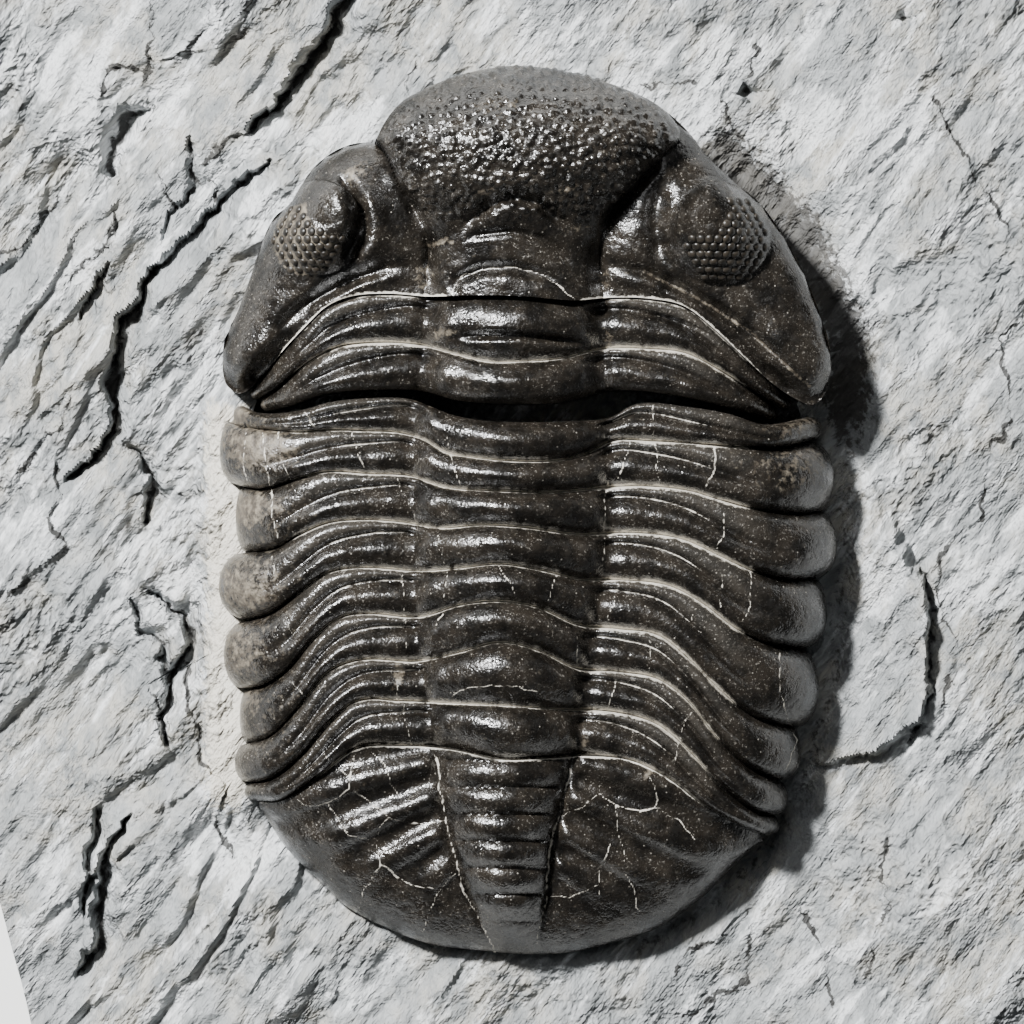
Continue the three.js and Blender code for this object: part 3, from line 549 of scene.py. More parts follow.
def veins_at(x: np.ndarray, y: np.ndarray) -> np.ndarray:
    """Distance of each place to the nearest calcite vein, counted in half widths of that vein."""
    moved = wander(x, y, 2.2, 13)
    return np.minimum(nearest(VEINS, *moved) / VEIN_HALF, nearest(WIDE_VEINS, *moved) / WIDE_VEIN_HALF)


def axis_part(x: np.ndarray, y: np.ndarray) -> np.ndarray:
    """What the raised axis adds above the side lobes at each place."""
    left, right = AXIS_LEFT(y), AXIS_RIGHT(y)
    across = np.clip(np.abs(2 * x - left - right) / (right - left), 0, 1)
    return AXIS_RISE(y) * (1 - across ** 2)


def under_ring(x: np.ndarray) -> np.ndarray:
    """Hides the pale line of the first joint where the first ring of the axis overlaps it."""
    ring_middle, ring_half, fade = 514, 70, 14
    return 5 * smoothstep(ring_half - np.abs(x - ring_middle), 0, fade)


def spaced(count: int, start: float, end: float, crowding: float) -> np.ndarray:
    """Places from start to end that crowd towards both ends by a part from 0 to 1."""
    even = np.linspace(0, 1, count)
    return lerp(start, end, lerp(even, (1 - np.cos(math.pi * even)) / 2, crowding))


def outwards(x: np.ndarray, y: np.ndarray, left_end: np.ndarray, right_end: np.ndarray) -> np.ndarray:
    """How far each place is from the axis edge towards the tip, from 0 to 1, below 0 on the axis."""
    left, right = AXIS_LEFT(y), AXIS_RIGHT(y)
    return np.where(x < (left + right) / 2, (left - x) / (left - left_end), (x - right) / (right_end - right))


def body_height(x: np.ndarray, y: np.ndarray, left_end: np.ndarray, right_end: np.ndarray) -> np.ndarray:
    """Height of the side lobes and axis of the body, before the relief of its bands."""
    out = outwards(x, y, left_end, right_end)
    fall = np.clip((out - FULCRUM) / (1 - FULCRUM), 0, 1)
    return TIP_HEIGHT + (SIDE_HEIGHT(y) - TIP_HEIGHT) * np.sqrt(1 - fall ** 2) + axis_part(x, y)


def ripple(x: np.ndarray, y: np.ndarray) -> np.ndarray:
    """The slight unevenness of the whole shell, in millimetres."""
    return RIPPLE_RISE * grain(x, y, 34, 3.3, 4)


def normals(surface: np.ndarray) -> np.ndarray:
    """Unit normals of a grid of points that runs from the head end to the tail end and from left to right."""
    across = np.gradient(surface, axis=1)
    down = np.gradient(surface, axis=0)
    square = np.cross(down, across)
    return square / np.maximum(np.linalg.norm(square, axis=-1, keepdims=True), 1e-12)


def place(x: np.ndarray, y: np.ndarray, height: np.ndarray) -> np.ndarray:
    """Points in metres from places on the sheet and heights in millimetres above the rock's mean face."""
    return np.stack(((x - SHEET_MIDDLE) * RULE, (SHEET_MIDDLE - y) * RULE, ROCK_FACE + height),
                    axis=-1) * MILLIMETRE


@dataclass
class NodeKit:
    """Builds the node tree of one material."""

    name: str
    flat: bool = False
    material: bpy.types.Material = field(init=False)
    shader: bpy.types.Node = field(init=False)
    place: bpy.types.NodeSocket = field(init=False)

    def __post_init__(self) -> None:
        """Starts the material with its shader and the object's coordinates, laid on a sheet when flat."""
        self.material = bpy.data.materials.new(self.name)
        self.material.use_nodes = True
        self.shader = self.material.node_tree.nodes["Principled BSDF"]
        self.place = self.node("ShaderNodeTexCoord").outputs["Object"]
        if self.flat:
            slanting = (1, 0, 0.6), (0, 1, 0.8)
            sheet = self.node("ShaderNodeCombineXYZ")
            for socket, way in zip(sheet.inputs, slanting):
                self.feed(socket, self.vector("DOT_PRODUCT", self.place, way).outputs["Value"])
            self.place = sheet.outputs[0]

    def node(self, kind: str, **settings: object) -> bpy.types.Node:
        """Adds a node and sets its options."""
        made = self.material.node_tree.nodes.new(kind)
        for option, value in settings.items():
            setattr(made, option, value)
        return made

    def feed(self, socket: bpy.types.NodeSocket, value: object) -> None:
        """Links a socket to another, or sets its value."""
        if isinstance(value, bpy.types.NodeSocket):
            self.material.node_tree.links.new(value, socket)
        else:
            socket.default_value = value

    def math(self, operation: str, first: object, second: object = 0.0) -> bpy.types.NodeSocket:
        """One sum of two values."""
        made = self.node("ShaderNodeMath", operation=operation)
        self.feed(made.inputs[0], first)
        self.feed(made.inputs[1], second)
        return made.outputs[0]

    def scaled(self, value: object, factor: float) -> bpy.types.NodeSocket:
        """A value times a factor."""
        return self.math("MULTIPLY", value, factor)

    def ragged(self, torn: object, reach: float) -> bpy.types.NodeSocket:
        """A noise spread from minus a reach to plus that reach, to make an edge ragged."""
        return self.ramp(torn, 0.22, 0.78, -reach, reach)

    def stretched(self, turn: float, stretch: tuple[float, float, float]) -> bpy.types.NodeSocket:
        """The object coordinates turned about Z and stretched along the new axes."""
        made = self.node("ShaderNodeMapping", vector_type="TEXTURE")
        self.feed(made.inputs["Vector"], self.place)
        made.inputs["Rotation"].default_value = (0, 0, turn)
        made.inputs["Scale"].default_value = stretch
        return made.outputs[0]

    def noise(self, size: float, detail: float = 3, rough: float = 0.55,
              at: bpy.types.NodeSocket | None = None) -> bpy.types.NodeSocket:
        """Fractal noise.

        Args:
            size: the size of the coarsest lumps, in millimetres.
            detail: how many finer layers are added.
            rough: how strong the finer layers are.
            at: the coordinates, or the object's own.

        Returns:
            The socket of the noise's value.
        """
        made = self.node("ShaderNodeTexNoise", noise_dimensions="2D" if self.flat else "3D")
        self.feed(made.inputs["Vector"], at or self.place)
        made.inputs["Scale"].default_value = 1 / (size * MILLIMETRE)
        made.inputs["Detail"].default_value = detail
        made.inputs["Roughness"].default_value = rough
        return made.outputs[0]

    def cells(self, size: float, at: bpy.types.NodeSocket | None = None) -> bpy.types.Node:
        """A pattern of round cells, of a size in millimetres."""
        made = self.node("ShaderNodeTexVoronoi", voronoi_dimensions="2D" if self.flat else "3D")
        self.feed(made.inputs["Vector"], at or self.place)
        made.inputs["Scale"].default_value = 1 / (size * MILLIMETRE)
        return made

    def ramp(self, value: object, low: float, high: float, start: float = 0.0,
             end: float = 1.0) -> bpy.types.NodeSocket:
        """A smooth step of a value.

        Args:
            value: the socket to read.
            low: where the step begins.
            high: where it ends.
            start: what it gives at low.
            end: what it gives at high.

        Returns:
            The socket of the step.
        """
        made = self.node("ShaderNodeMapRange", interpolation_type="SMOOTHSTEP")
        for socket, number in zip(made.inputs, (value, low, high, start, end)):
            self.feed(socket, number)
        return made.outputs[0]

    def mix(self, part: object, first: object, second: object) -> bpy.types.NodeSocket:
        """A mix of two colours."""
        made = self.node("ShaderNodeMix", data_type="RGBA")
        self.feed(made.inputs[0], part)
        self.feed(made.inputs[6], first if isinstance(first, bpy.types.NodeSocket) else (*first, 1))
        self.feed(made.inputs[7], second if isinstance(second, bpy.types.NodeSocket) else (*second, 1))
        return made.outputs[2]

    def vector(self, operation: str, first: object, second: object,
               third: object = (0, 0, 0)) -> bpy.types.Node:
        """One sum of vectors."""
        made = self.node("ShaderNodeVectorMath", operation=operation)
        for socket, value in zip(made.inputs, (first, second, third)):
            self.feed(socket, value)
        return made

    def warped(self, at: bpy.types.NodeSocket, size: float, reach: float) -> bpy.types.NodeSocket:
        """Coordinates that wander by up to about half a reach, in bends of a size, both in millimetres."""
        by = (0.7 * reach * MILLIMETRE, -reach * MILLIMETRE, 0)
        return self.vector("MULTIPLY_ADD", self.noise(size, 3, 0.65), by, at).outputs[0]

    def facets(self, size: float, slope: float, at: bpy.types.NodeSocket) -> bpy.types.NodeSocket:
        """Flat facets that each lean their own way.

        Args:
            size: how wide a facet is, in millimetres.
            slope: how steeply the facets lean.
            at: the coordinates.

        Returns:
            The socket of their height in millimetres.
        """
        made = self.cells(size, at)
        away = self.vector("SUBTRACT", at, made.outputs["Position"]).outputs[0]
        lean = self.vector("SUBTRACT", made.outputs["Color"], (0.5, 0.5, 0.5)).outputs[0]
        rise = self.vector("DOT_PRODUCT", away, lean).outputs["Value"]
        return self.scaled(rise, 2 * slope / MILLIMETRE)

    def attribute(self, name: str) -> bpy.types.NodeSocket:
        """A value that the mesh carries at its points."""
        return self.node("ShaderNodeAttribute", attribute_name=name).outputs["Fac"]

    def finished(self, colour: object, rough: object, height: object = None, depth: float = 1.0,
                 specular: float = 0.5) -> bpy.types.Material:
        """Feeds the shader.

        Args:
            colour: the base colour.
            rough: the roughness.
            height: the relief that bumps the surface, if any.
            depth: how many millimetres one unit of the relief is.
            specular: the strength of the mirror reflection.

        Returns:
            The material.
        """
        self.feed(self.shader.inputs["Base Color"], colour)
        self.feed(self.shader.inputs["Roughness"], rough)
        self.shader.inputs["Specular IOR Level"].default_value = specular
        if height is not None:
            relief = self.node("ShaderNodeBump")
            relief.inputs["Distance"].default_value = depth * MILLIMETRE
            self.feed(relief.inputs["Height"], height)
            self.feed(self.shader.inputs["Normal"], relief.outputs[0])
        return self.material


Colour = tuple[float, float, float]


@dataclass(frozen=True)
class ShellFinish:
    """Brown-black mineral shell: broken gloss, pale specks, cream veins and clinging silt; the silt layer also
    carries a painted sheen, a painted glint and painted shade in its hollows.
    """

    dark: Colour = (0.0052, 0.0045, 0.0037)
    light: Colour = (0.022, 0.0182, 0.014)
    speck: Colour = (0.42, 0.39, 0.34)
    vein: Colour = (0.66, 0.62, 0.54)
    # Silt tones: dark in the hollows of the shell's bump relief as painted shade, light on its crests
    silt: Colour = (0.062, 0.049, 0.035)
    silt_light: Colour = (0.24, 0.205, 0.15)
    # Least and greatest roughness of the bare shell, and depths of the relief in millimetres
    gloss: tuple[float, float] = (0.15, 0.36)
    relief_depth: float = 0.09
    fine_depth: float = 0.026

    def material(self) -> bpy.types.Material:
        """Builds the finish.

        Returns:
            The material; it reads the mesh's line, silt and dust values.
        """
        kit = NodeKit("shell")
        fine = kit.noise(0.13, 1, 0.7)
        patches = kit.noise(1.7, 4, 0.62)
        relief = kit.noise(0.6, 3, 0.68)
        torn = kit.noise(0.36, 3, 0.7)
        colour = kit.mix(kit.ramp(patches, 0.35, 0.7), self.dark, self.light)
        powder_patch = kit.math("MAXIMUM", kit.ramp(patches, 0.42, 0.64, 0.12, 1.0), kit.attribute("dust"))
        colour = kit.mix(kit.scaled(kit.attribute("dust"), 0.05), colour, self.speck)
        powder = kit.math("MULTIPLY", kit.ramp(kit.noise(0.17, 2, 0.8), 0.57, 0.74), powder_patch)
        colour = kit.mix(kit.scaled(powder, 0.5), colour, self.speck)
        speck = self.specks(kit, 0.4, 0.11)
        colour = kit.mix(kit.scaled(speck, 0.6), colour, self.speck)
        # Silt, which also carries the painted sheen of the left side lobes and a painted glint on the frontal
        # lobe
        silt = self.silt_part(kit, torn)
        # Painted shade: the silt is darker in the hollows of the shell's bump relief and lighter on its crests
        silt_colour = kit.mix(kit.ramp(relief, 0.36, 0.7), self.silt, self.silt_light)
        colour = kit.mix(silt, colour, silt_colour)
        vein = self.vein_part(kit, torn, patches)
        colour = kit.mix(kit.scaled(vein, 0.9), colour, self.vein)
        rough = kit.ramp(relief, 0.3, 0.72, *self.gloss)
        dull = kit.math("MAXIMUM", kit.math("MAXIMUM", vein, silt), kit.math("MAXIMUM", speck, powder))
        rough = kit.math("ADD", rough, kit.scaled(dull, 0.35))
        height = kit.math("ADD", kit.scaled(relief, self.relief_depth), kit.scaled(fine, self.fine_depth))
        return kit.finished(colour, rough, height, specular=0.9)

    @staticmethod
    def specks(kit: NodeKit, pitch: float, size: float) -> bpy.types.NodeSocket:
        """Scattered white specks, some pitch apart: 1 on a speck."""
        dots = kit.cells(pitch)
        chosen = kit.ramp(dots.outputs["Color"], 0.62, 0.7)
        return kit.math("MULTIPLY", kit.ramp(dots.outputs["Distance"], size * 1.5, size * 0.7), chosen)

    @staticmethod
    def silt_part(kit: NodeKit, torn: bpy.types.NodeSocket) -> bpy.types.NodeSocket:
        """Where silt clings, as a part from 0 to 1 with an edge torn by a noise."""
        return kit.ramp(kit.math("ADD", kit.attribute("silt"), kit.ragged(torn, 0.5)), 0.25, 0.95, 0, 0.85)

    @staticmethod
    def vein_part(kit: NodeKit, torn: bpy.types.NodeSocket,
                  patches: bpy.types.NodeSocket) -> bpy.types.NodeSocket:
        """Where calcite fills a joint or a vein: lines torn by one noise and broken off by another."""
        waning = kit.ramp(patches, 0.42, 0.68, -0.15, 0.6)
        line = kit.math("ADD", kit.attribute("line"), kit.math("ADD", kit.ragged(torn, 0.65), waning))
        return kit.ramp(line, 1.45, 0.65)


@dataclass(frozen=True)
class LensFinish:
    """Polished brown calcite of the eye lenses."""

    dark: Colour = (0.009, 0.008, 0.0065)
    light: Colour = (0.034, 0.028, 0.021)

    def material(self) -> bpy.types.Material:
        """Builds the finish.

        Returns:
            The material.
        """
        kit = NodeKit("lens")
        colour = kit.mix(kit.ramp(kit.noise(0.5, 4), 0.35, 0.65), self.dark, self.light)
        rough = kit.ramp(kit.noise(0.3, 3), 0.3, 0.7, 0.28, 0.5)
        return kit.finished(colour, rough, kit.noise(0.12, 3), depth=0.012)


@dataclass(frozen=True)
class RockFinish:
    """Pale cool grey limestone: splintery grain, powdery patches that are partly painted light, dark fine
    cracks, open cracks filled with painted shade, painted shade in the hollows of its bump, cream silt, and
    painted shadow with dark debris in the trench.
    """

    # Dark grey of the random mottling, also used as painted shade in the hollows of the bump reliefs
    dark: Colour = (0.215, 0.227, 0.23)
    light: Colour = (0.347, 0.362, 0.368)
    cream: Colour = (0.415, 0.402, 0.362)
    powder: Colour = (0.78, 0.80, 0.81)
    # Painted shadow, partly dark shell debris, for the trench beside the fossil's right side
    shade_and_debris: Colour = (0.045, 0.041, 0.036)
    # Dark of the fine crack lines, and painted shade inside the open cracks
    crack: Colour = (0.025, 0.024, 0.022)
    silt: Colour = (0.66, 0.62, 0.53)
    # Direction of the grain, and depths of the relief in millimetres
    turn: float = math.radians(52)
    grain_depth: float = 0.65
    fine_depth: float = 0.1

    def material(self) -> bpy.types.Material:
        """Builds the finish.

        Returns:
            The material; it reads the mesh's crack, near, opening, silt, stain and pale values.
        """
        kit = NodeKit("limestone", flat=True)
        splinter = kit.stretched(self.turn, (3.2, 1, 1))
        long_grain = kit.noise(1.5, 4, 0.68, splinter)
        fine = kit.noise(0.24, 1, 0.75)
        swathes = kit.noise(7, 3, 0.62)
        crease = self.creases(kit, long_grain, swathes)
        light = kit.mix(kit.ramp(swathes, 0.4, 0.62), self.light, self.cream)
        colour = kit.mix(kit.ramp(kit.noise(1.9, 4, 0.72), 0.3, 0.64), self.dark, light)
        # Powdery white, raised also by the pale patches, which are partly painted light
        pale = kit.scaled(kit.attribute("pale"), 0.17)
        powder = kit.ramp(kit.math("ADD", kit.noise(2.6, 4, 0.78, splinter), pale), 0.52, 0.64)
        colour = kit.mix(kit.scaled(powder, 0.68), colour, self.powder)
        # Painted shade: the rock is darker in the hollows of its fine and long-grain bump reliefs
        colour = kit.mix(kit.ramp(fine, 0.5, 0.3, 0, 0.3), colour, self.dark)
        colour = kit.mix(kit.ramp(long_grain, 0.46, 0.32, 0, 0.5), colour, self.dark)
        colour = kit.mix(kit.scaled(crease, 0.5), colour, self.crack)
        ragged = kit.ragged(kit.noise(0.6, 3, 0.68), 0.35)
        silt = kit.ramp(kit.math("ADD", kit.attribute("silt"), ragged), 0.3, 0.85, 0, 0.85)
        colour = kit.mix(silt, colour, self.silt)
        # Painted shadow with dark debris in the trench, strongest beside the head
        shade_and_debris = kit.ramp(kit.math("ADD", kit.attribute("shade_and_debris"), ragged), 0.35, 0.75, 0, 0.85)
        colour = kit.mix(shade_and_debris, colour, self.shade_and_debris)
        colour = kit.mix(kit.scaled(self.crack_part(kit), 0.9), colour, self.crack)
        rough = kit.ramp(long_grain, 0.3, 0.7, 0.7, 0.95)
        flakes = kit.facets(3.6, 0.36, kit.warped(kit.stretched(self.turn, (2.1, 1, 1)), 2.4, 3.2))
        height = kit.math("ADD", flakes, kit.scaled(long_grain, self.grain_depth))
        height = kit.math("ADD", height, kit.scaled(fine, self.fine_depth))
        return kit.finished(colour, rough, height, specular=0.3)

    @staticmethod
    def creases(kit: NodeKit, folds: bpy.types.NodeSocket,
                swathes: bpy.types.NodeSocket) -> bpy.types.NodeSocket:
        """Hair cracks along the middle level of one noise, in the patches of another: 1 in a crack."""
        off = kit.math("ABSOLUTE", kit.math("SUBTRACT", folds, 0.5))
        return kit.math("MULTIPLY", kit.ramp(off, 0.013, 0.002), kit.ramp(swathes, 0.5, 0.62))

    @staticmethod
    def crack_part(kit: NodeKit) -> bpy.types.NodeSocket:
        """The cracks that the mesh places, with ragged edges: 1 in a crack. The fine cracks are dark lines;
        the open cracks are filled with painted shade from their mouths inward.
        """
        ragged = kit.ragged(kit.noise(0.7, 3, 0.68), 2.4)
        across = kit.math("ABSOLUTE", kit.math("ADD", kit.attribute("crack"), ragged))
        width = kit.ramp(kit.noise(1.9, 0), 0.3, 0.7, -0.9, 1.5)
        fine = kit.ramp(kit.math("SUBTRACT", across, width), 1.8, 0.5)
        beside = kit.ramp(kit.attribute("near"), 6.0, 3.0)
        # Painted shade inside the open cracks
        shaded_opening = kit.ramp(kit.math("ADD", kit.attribute("shaded_opening"), ragged), 1.0, -2.5)
        return kit.math("MAXIMUM", kit.math("MULTIPLY", fine, beside), shaded_opening)


@dataclass(frozen=True)
class PlainFinish:
    """Matt pale studio floor."""

    colour: Colour = (0.82, 0.82, 0.80)

    def material(self) -> bpy.types.Material:
        """Builds the finish.

        Returns:
            The material.
        """
        return NodeKit("floor").finished((*self.colour, 1), rough=0.9)


@dataclass
class Workbench:
    """The modelling steps that every piece shares."""

    finishes: dict[Finish, bpy.types.Material]
    smooth_below: float = math.radians(55)

    def sheet(self, name: str, points: np.ndarray, **values: np.ndarray) -> bpy.types.Object:
        """A gridded sheet pressed into relief.

        Args:
            name: the piece's name.
            points: rows of points from the head end to the tail end, each from left to right, in metres.
            values: values that the mesh carries at its points, in the same rows.

        Returns:
            The sheet, selected and active.
        """
        rows, columns = points.shape[:2]
        bpy.ops.object.select_all(action="DESELECT")
        bpy.ops.mesh.primitive_grid_add(x_subdivisions=columns - 1, y_subdivisions=rows - 1, size=1)
        piece = bpy.context.active_object
        piece.name = name
        piece.data.name = name
        self.move(piece, points[::-1])
        self.give(piece, {value_name: value[::-1] for value_name, value in values.items()})
        return piece

    @staticmethod
    def points(piece: bpy.types.Object) -> np.ndarray:
        """The places of a mesh's points in metres, one row each."""
        found = np.empty(len(piece.data.vertices) * 3)
        piece.data.vertices.foreach_get("co", found)
        return found.reshape(-1, 3)

    @staticmethod
    def move(piece: bpy.types.Object, points: np.ndarray) -> None:
        """Moves a mesh's points to new places in metres."""
        piece.data.vertices.foreach_set("co", points.ravel())
        piece.data.update()

    @staticmethod
    def give(piece: bpy.types.Object, values: dict[str, np.ndarray]) -> None:
        """Makes a mesh carry named values at its points."""
        for name, value in values.items():
            carried = piece.data.attributes.new(name, "FLOAT", "POINT")
            carried.data.foreach_set("value", value.astype(np.float32).ravel())

    @staticmethod
    def select_rims() -> None:
        """Enters edit mode with the open rims of the active mesh selected."""
        bpy.ops.object.mode_set(mode="EDIT")
        bpy.ops.mesh.select_mode(type="EDGE")
        bpy.ops.mesh.select_all(action="DESELECT")
        bpy.ops.mesh.select_non_manifold(use_wire=False, use_multi_face=False, use_non_contiguous=False,
                                         use_verts=False)

    @staticmethod
    def face_outwards() -> None:
        """Turns all faces of the mesh in edit mode outwards and leaves edit mode."""
        bpy.ops.mesh.select_all(action="SELECT")
        bpy.ops.mesh.normals_make_consistent(inside=False)
        bpy.ops.object.mode_set(mode="OBJECT")

    def back(self, piece: bpy.types.Object) -> None:
        """Closes a piece of the fossil below: its rim is drawn down to a flat face on the bed."""
        floor = BED * MILLIMETRE
        self.select_rims()
        bpy.ops.mesh.extrude_edges_move(TRANSFORM_OT_translate={"value": (0, 0, -MILLIMETRE)})
        bpy.ops.transform.resize(value=(1, 1, 0), center_override=(0, 0, floor))
        bpy.ops.mesh.edge_face_add()
        self.face_outwards()
        line = np.empty(len(piece.data.vertices), dtype=np.float32)
        piece.data.attributes["line"].data.foreach_get("value", line)
        line[self.points(piece)[:, 2] < floor + CLEARANCE * MILLIMETRE] = NO_LINE
        piece.data.attributes["line"].data.foreach_set("value", line)

    def dress(self, piece: bpy.types.Object, node: str, slot: str, finish: Finish) -> None:
        """Smooths a piece, gives it its finish and sets it in the frame in place of a node.

        Args:
            piece: the piece.
            node: the name of the solid that it stands for.
            slot: the record's material slot; not used.
            finish: the finish that it is dressed in.
        """
        bpy.ops.object.select_all(action="DESELECT")
        piece.select_set(True)
        bpy.context.view_layer.objects.active = piece
        bpy.ops.object.shade_smooth_by_angle(angle=self.smooth_below)
        piece.data.materials.clear()
        piece.data.materials.append(self.finishes[finish])
        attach(piece, "root")
        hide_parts(node)
        LOG.info("%s: %d faces", piece.name, len(piece.data.polygons))


@dataclass
class Cephalon:
    """The head shield: frontal lobe with its pebbles, cheeks, eyes and the rings behind the lobe."""

    bench: Workbench
    # Grid, its ends across the sheet and how much it crowds towards them
    columns: int = 440
    rows: int = 214
    left_end: float = 221.5
    right_end: float = 831.5
    crowding: float = 0.3
    row_growth: float = 1.2
    # Pale line of the rear joint: half width, and where it fades out to both sides of a middle
    joint_half: float = 1.8
    joint_middle: float = 520
    joint_ends: tuple[float, float] = (225, 285)
    # Cheeks: widths of their rounded edge and of their meeting with the first band, and height in millimetres
    shoulder_width: float = 75
    rear_margin: float = 15
    first_band_ends: tuple[float, float] = (249, 792)
    crown: float = 7.6
    # Frontal lobe: width of the furrow beside it and how full its section is
    lobe_margin: float = 20
    lobe_fullness: float = 0.58
    # Pebbles: pitch and radius in steps, rise in millimetres, corner and size of their field, scatter, sizes
    pebble_pitch: float = 9.0
    pebble_radius: float = 4.3
    pebble_rise: float = 0.17
    pebble_corner: tuple[float, float] = (365, 60)
    pebble_reach: tuple[float, float] = (325, 185)
    pebble_scatter: float = 3.8
    pebble_sizes: tuple[float, float] = (0.65, 1.15)
    seed: int = 7
    # Lenses: sink in millimetres, height and what stays below the middle as parts of the radius; then half the
    # span in steps over which the slope under them is read
    lens_sink: float = 0.015
    lens_flatness: float = 0.6
    lens_cut: float = 0.1
    probe: float = 2

    def build(self) -> None:
        """Builds the head and its two fields of lenses."""
        across = spaced(self.columns, self.left_end, self.right_end, self.crowding)
        x = np.tile(across, (self.rows, 1))
        v = np.linspace(0, 1, self.rows)[:, None] ** self.row_growth
        front = Profile(HEAD_FRONT)(x)
        rear = Profile(HEAD_REAR)(x) - JOINT_GAP
        y = lerp(front, np.maximum(rear, front + 1), v)
        fade = 4 * smoothstep(np.abs(x - self.joint_middle), *self.joint_ends)
        joint = (rear - y) / self.joint_half + fade + under_ring(x)
        line = np.minimum(joint, veins_at(x, y))
        surface = place(x, y, self.height(x, y) + ripple(x, y))
        surface += normals(surface) * (self.pebbles(x, y) * MILLIMETRE)[..., None]
        silt = np.maximum(silt_at(x, y), 0.8 * EYES[0].patch_at(x, y))
        piece = self.bench.sheet("head_shield", surface, line=line, silt=silt)
        self.bench.back(piece)
        self.bench.dress(piece, "cephalon", "fossil", Finish.SHELL)
        for eye in EYES:
            self.lenses(eye)

    def height(self, x: np.ndarray, y: np.ndarray) -> np.ndarray:
        """Height of the head's surface without its pebbles.

        Args:
            x: places across the sheet.
            y: places down the sheet.

        Returns:
            Millimetres above the rock's mean face.
        """
        off = np.abs(x - LOBE_MIDDLE(y))
        half = LOBE_HALF(y)
        edges = HEAD_FRONT, HEAD_REAR[:4], HEAD_REAR[-5:]
        edge = np.min([distance_to(points, x, y)[0] for points in edges], axis=0)
        shoulder = 1 - np.clip(edge / self.shoulder_width, 0, 1)
        rim = lerp(LEFT_RIM_HEIGHT, RIGHT_RIM_HEIGHT, smoothstep(x, 350, 680))
        crown = lerp(self.crown, SIDE_HEIGHT(y), smoothstep(y, 230, 330))
        foot = LOBE_FOOT(y)
        cheek = rim + (crown - rim) * np.sqrt(1 - shoulder ** 2)
        beside = lerp(cheek, np.minimum(foot, cheek), bell(np.maximum(off - half, 0), self.lobe_margin))
        ahead = (Profile(HEAD_REAR)(x) - y) * 0.8
        meeting = bell(np.maximum(ahead, 0), self.rear_margin)
        beside = lerp(beside, np.maximum(body_height(x, y, *self.first_band_ends), rim), meeting)
        lobe = foot + LOBE_RISE(y) * (1 - np.clip(off / half, 0, 1) ** 2) ** self.lobe_fullness
        eyes = np.maximum(EYES[0].rise(x, y), EYES[1].rise(x, y))
        return np.where(off < half, lobe, beside) + eyes + strokes(HEAD_STROKES, x, y)

    def pebbles(self, x: np.ndarray, y: np.ndarray) -> np.ndarray:
        """Rise of the pebbles on the frontal lobe at each place."""
        random = np.random.default_rng(self.seed)
        step_y = self.pebble_pitch * ROW_SPACING
        left, top = self.pebble_corner
        width, length = self.pebble_reach
        centres = []
        for row in range(int(length / step_y)):
            for column in range(int(width / self.pebble_pitch)):
                centres.append((left + (column + row % 2 / 2) * self.pebble_pitch, top + row * step_y))
        scatter = random.uniform(-self.pebble_scatter, self.pebble_scatter, (len(centres), 2))
        centres = np.array(centres) + scatter
        sizes = random.uniform(*self.pebble_sizes, len(centres))
        off = np.abs(x - LOBE_MIDDLE(y)) / LOBE_HALF(y)
        inside = (off < 0.97) & (y < 240)
        rise = np.zeros(np.shape(x))
        spots = np.column_stack((x[inside], y[inside]))
        found = np.zeros(len(spots))
        for centre, size in zip(centres, sizes):
            away = np.hypot(*(spots - centre).T) / (self.pebble_radius * size)
            found = np.maximum(found, size * np.clip(1 - away ** 2, 0, 1))
        rise[inside] = self.pebble_rise * found
        fade = (1 - smoothstep(off, 0.9, 0.97)) * (1 - smoothstep(y, 205, 235))
        return rise * fade

    def lenses(self, eye: Eye) -> None:
        """Sets the lenses of one eye, each a small dome that stands square to the surface.

        Args:
            eye: which eye.
        """
        radius = eye.pitch * eye.fill * RULE * MILLIMETRE
        bpy.ops.object.select_all(action="DESELECT")
        bpy.ops.mesh.primitive_uv_sphere_add(segments=10, ring_count=8, radius=radius)
        dome = bpy.context.active_object
        bpy.ops.object.mode_set(mode="EDIT")
        bpy.ops.mesh.select_all(action="SELECT")
        bpy.ops.mesh.bisect(plane_co=(0, 0, -self.lens_cut * radius), plane_no=(0, 0, 1), use_fill=True,
                            clear_inner=True)
        bpy.ops.mesh.select_all(action="SELECT")
        bpy.ops.transform.resize(value=(1, 1, self.lens_flatness), center_override=(0, 0, 0))
        bpy.ops.object.mode_set(mode="OBJECT")
        copies = []
        for x, y in self.lens_places(eye):
            beside = x + self.probe * np.array((0, 1, -1, 0, 0)), y + self.probe * np.array((0, 0, 0, 1, -1))
            height, right, left, below, above = self.height(*beside)
            slope_x, slope_y = np.array((right - left, below - above)) / (2 * self.probe * RULE)
            copy = bpy.data.objects.new(eye.name, dome.data.copy())
            bpy.context.collection.objects.link(copy)
            copy.rotation_mode = "QUATERNION"
            copy.rotation_quaternion = Vector((-slope_x, slope_y, 1)).to_track_quat("Z", "Y")
            copy.location = place(np.array(x), np.array(y), np.array(height - self.lens_sink))
            copies.append(copy)
        bpy.data.objects.remove(dome, do_unlink=True)
        bpy.ops.object.select_all(action="DESELECT")
        for copy in copies:
            copy.select_set(True)
        bpy.context.view_layer.objects.active = copies[0]
        bpy.ops.object.join()
        bpy.ops.object.transform_apply(location=True, rotation=True, scale=True)
        piece = bpy.context.active_object
        piece.name = eye.name
        piece.data.name = eye.name
        self.bench.dress(piece, "cephalon", "fossil", Finish.LENS)

